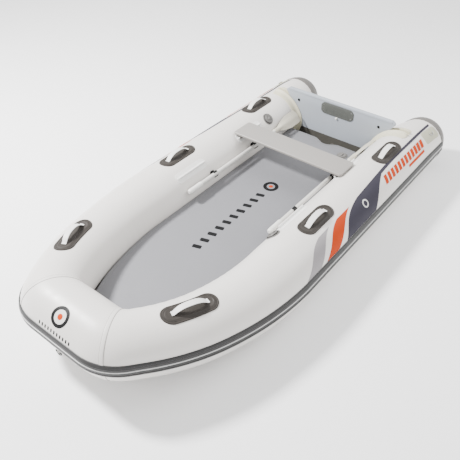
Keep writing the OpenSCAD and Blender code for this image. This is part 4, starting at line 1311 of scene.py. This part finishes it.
def nose_shape(outline, turn, at=0.0):
    """A plain welded shape on the bow tube."""
    moved = np.array(outline) + (at, 0)
    return coated(loft("shape", [nose_lay(moved, turn, lift) for lift in (-0.001, 0.0007)]
                       + [nose_lay(inset(moved, 0.0008), turn, 0.0009)]), PRINT_BLACK)


def nose_ring(inner, outer, turn):
    rings = [nose_lay(disc(r, 64), turn, lift)
             for r, lift in ((inner, -0.001), (inner, 0.0009), (outer, 0.0009), (outer, -0.001))]
    return coated(loft("ring", rings, loop=True), PRINT_BLACK)


bar = rounded([(-0.005, -0.010), (0.005, -0.010), (0.005, 0.010), (-0.005, 0.010)], 0.002, 2)
marks = [nose_ring(0.038, 0.057, BOW_RING_TURN)]
marks += [nose_shape(bar, BOW_BARS_TURN, y) for y in spread(-0.115, 0.115, 10)]
piece("bow_marks", joined("marks", marks), "hull", PRINT_BLACK)
piece("bow_mark_dot", coated(nose_shape(disc(0.016, 32), BOW_RING_TURN), ORANGE), "hull",
      ORANGE)


# ---- Towing rings ----
RING_STATION, RING_ANGLE, RING_LIFT, RING_MINOR = 0.270, 54, 0.007, 0.003


def stern_patch(side):
    """A fabric patch with the strip of webbing and the sleeve that hold the ring."""
    s = RING_STATION + 0.012
    plate = skin_plate("patch", s, 51, stadium(0.205, 0.098, 0.022),
                       [(0, 0.0008), (0.0015, 0.0019)], side, (0.85, 0.7, 0.55, 0.4, 0.25, 0.12))
    strip = skin_plate("webbing", RING_STATION, 55, stadium(0.040, 0.062, 0.003, 3),
                       [(0, 0.0022), (0.001, 0.0034), (0.003, 0.0036)], side)
    place = skin_frame(RING_STATION, RING_ANGLE, RING_LIFT, side)
    sleeve = lathe("sleeve", tube_profile(RING_MINOR + 0.0004, RING_MINOR + 0.0022,
                                          -0.012, 0.012, 0.0005),
                   place @ Matrix.Rotation(math.pi / 2, 4, "Y"), 24)
    return joined("patch", [coated(m, PATCH_CREAM) for m in (plate, strip, sleeve)])


piece("stern_patches", joined("patches", [stern_patch(side) for _, side in SIDES]), "hull",
      PATCH_CREAM, ["stern_ring_patches"])
for name, material in {
        "port_stern_ring": STEEL, "starboard_stern_ring": STEEL, "bow_ring": BLACK_PLASTIC,
        "bow_ring_patch": SEAM_TAPE, "keel_tube": TUBE_WHITE, "motor_pad_screws": STEEL,
        "transom_eye_bolts": BLACK_PLASTIC, "drain_valve_body": CAP_GREY,
        "drain_plug": BLACK_PLASTIC}.items():
    coated(nodes[name].data, material)


# ---- Stage ----
def stage():
    plane, reach = bpy.data.meshes.new("floor"), 14
    plane.from_pydata([(-reach, -reach, 0), (reach, -reach, 0), (reach, reach, 0),
                       (-reach, reach, 0)], [], [(0, 1, 2, 3)])
    material, tree, shader, place = graph("floor_paper")
    mottled(tree, shader, place, (0.97, 0.97, 0.97), (0.965, 0.965, 0.965), 1.5)
    shader.inputs["Roughness"].default_value = 0.9
    plane.materials.append(material)
    floor = bpy.data.objects.new("floor", plane)
    floor.location.z = -0.0005
    bpy.context.scene.collection.objects.link(floor)
    world = bpy.data.worlds.new("studio")
    world.use_nodes = True
    world.node_tree.nodes["Background"].inputs[0].default_value = (1, 1, 1, 1)
    world.node_tree.nodes["Background"].inputs[1].default_value = 1.4
    bpy.context.scene.world = world


def lamp(name, spot, aim, size, power):
    data = bpy.data.lights.new(name, "AREA")
    data.shape, data.size, data.energy = "DISK", size, power
    thing = bpy.data.objects.new(name, data)
    thing.location = spot
    thing.rotation_euler = (Vector(aim) - Vector(spot)).to_track_quat("-Z", "Y").to_euler()
    bpy.context.scene.collection.objects.link(thing)


def camera():
    spot, aim = Vector((2.4503, 1.8018, 2.5918)), Vector((0.2709, 0.0480, 0.1771))
    roll = math.radians(-0.5285)
    ahead = (aim - spot).normalized()
    right = ahead.cross(Vector((0, 0, 1))).normalized()
    up = right.cross(ahead)
    across = right * math.cos(roll) + up * math.sin(roll)
    above = up * math.cos(roll) - right * math.sin(roll)
    data = bpy.data.cameras.new("camera")
    data.lens, data.sensor_width = 43.47, 36
    thing = bpy.data.objects.new("camera", data)
    matrix = Matrix((across, above, -ahead)).transposed().to_4x4()
    matrix.translation = spot
    thing.matrix_world = matrix
    bpy.context.scene.collection.objects.link(thing)
    bpy.context.scene.camera = thing


stage()
lamp("key", (2.0, -3.4, 4.6), (0, 0, 0.2), 0.85, 1020)
lamp("fill", (-3.0, 2.5, 3.6), (0, 0, 0.2), 3.0, 130)
camera()
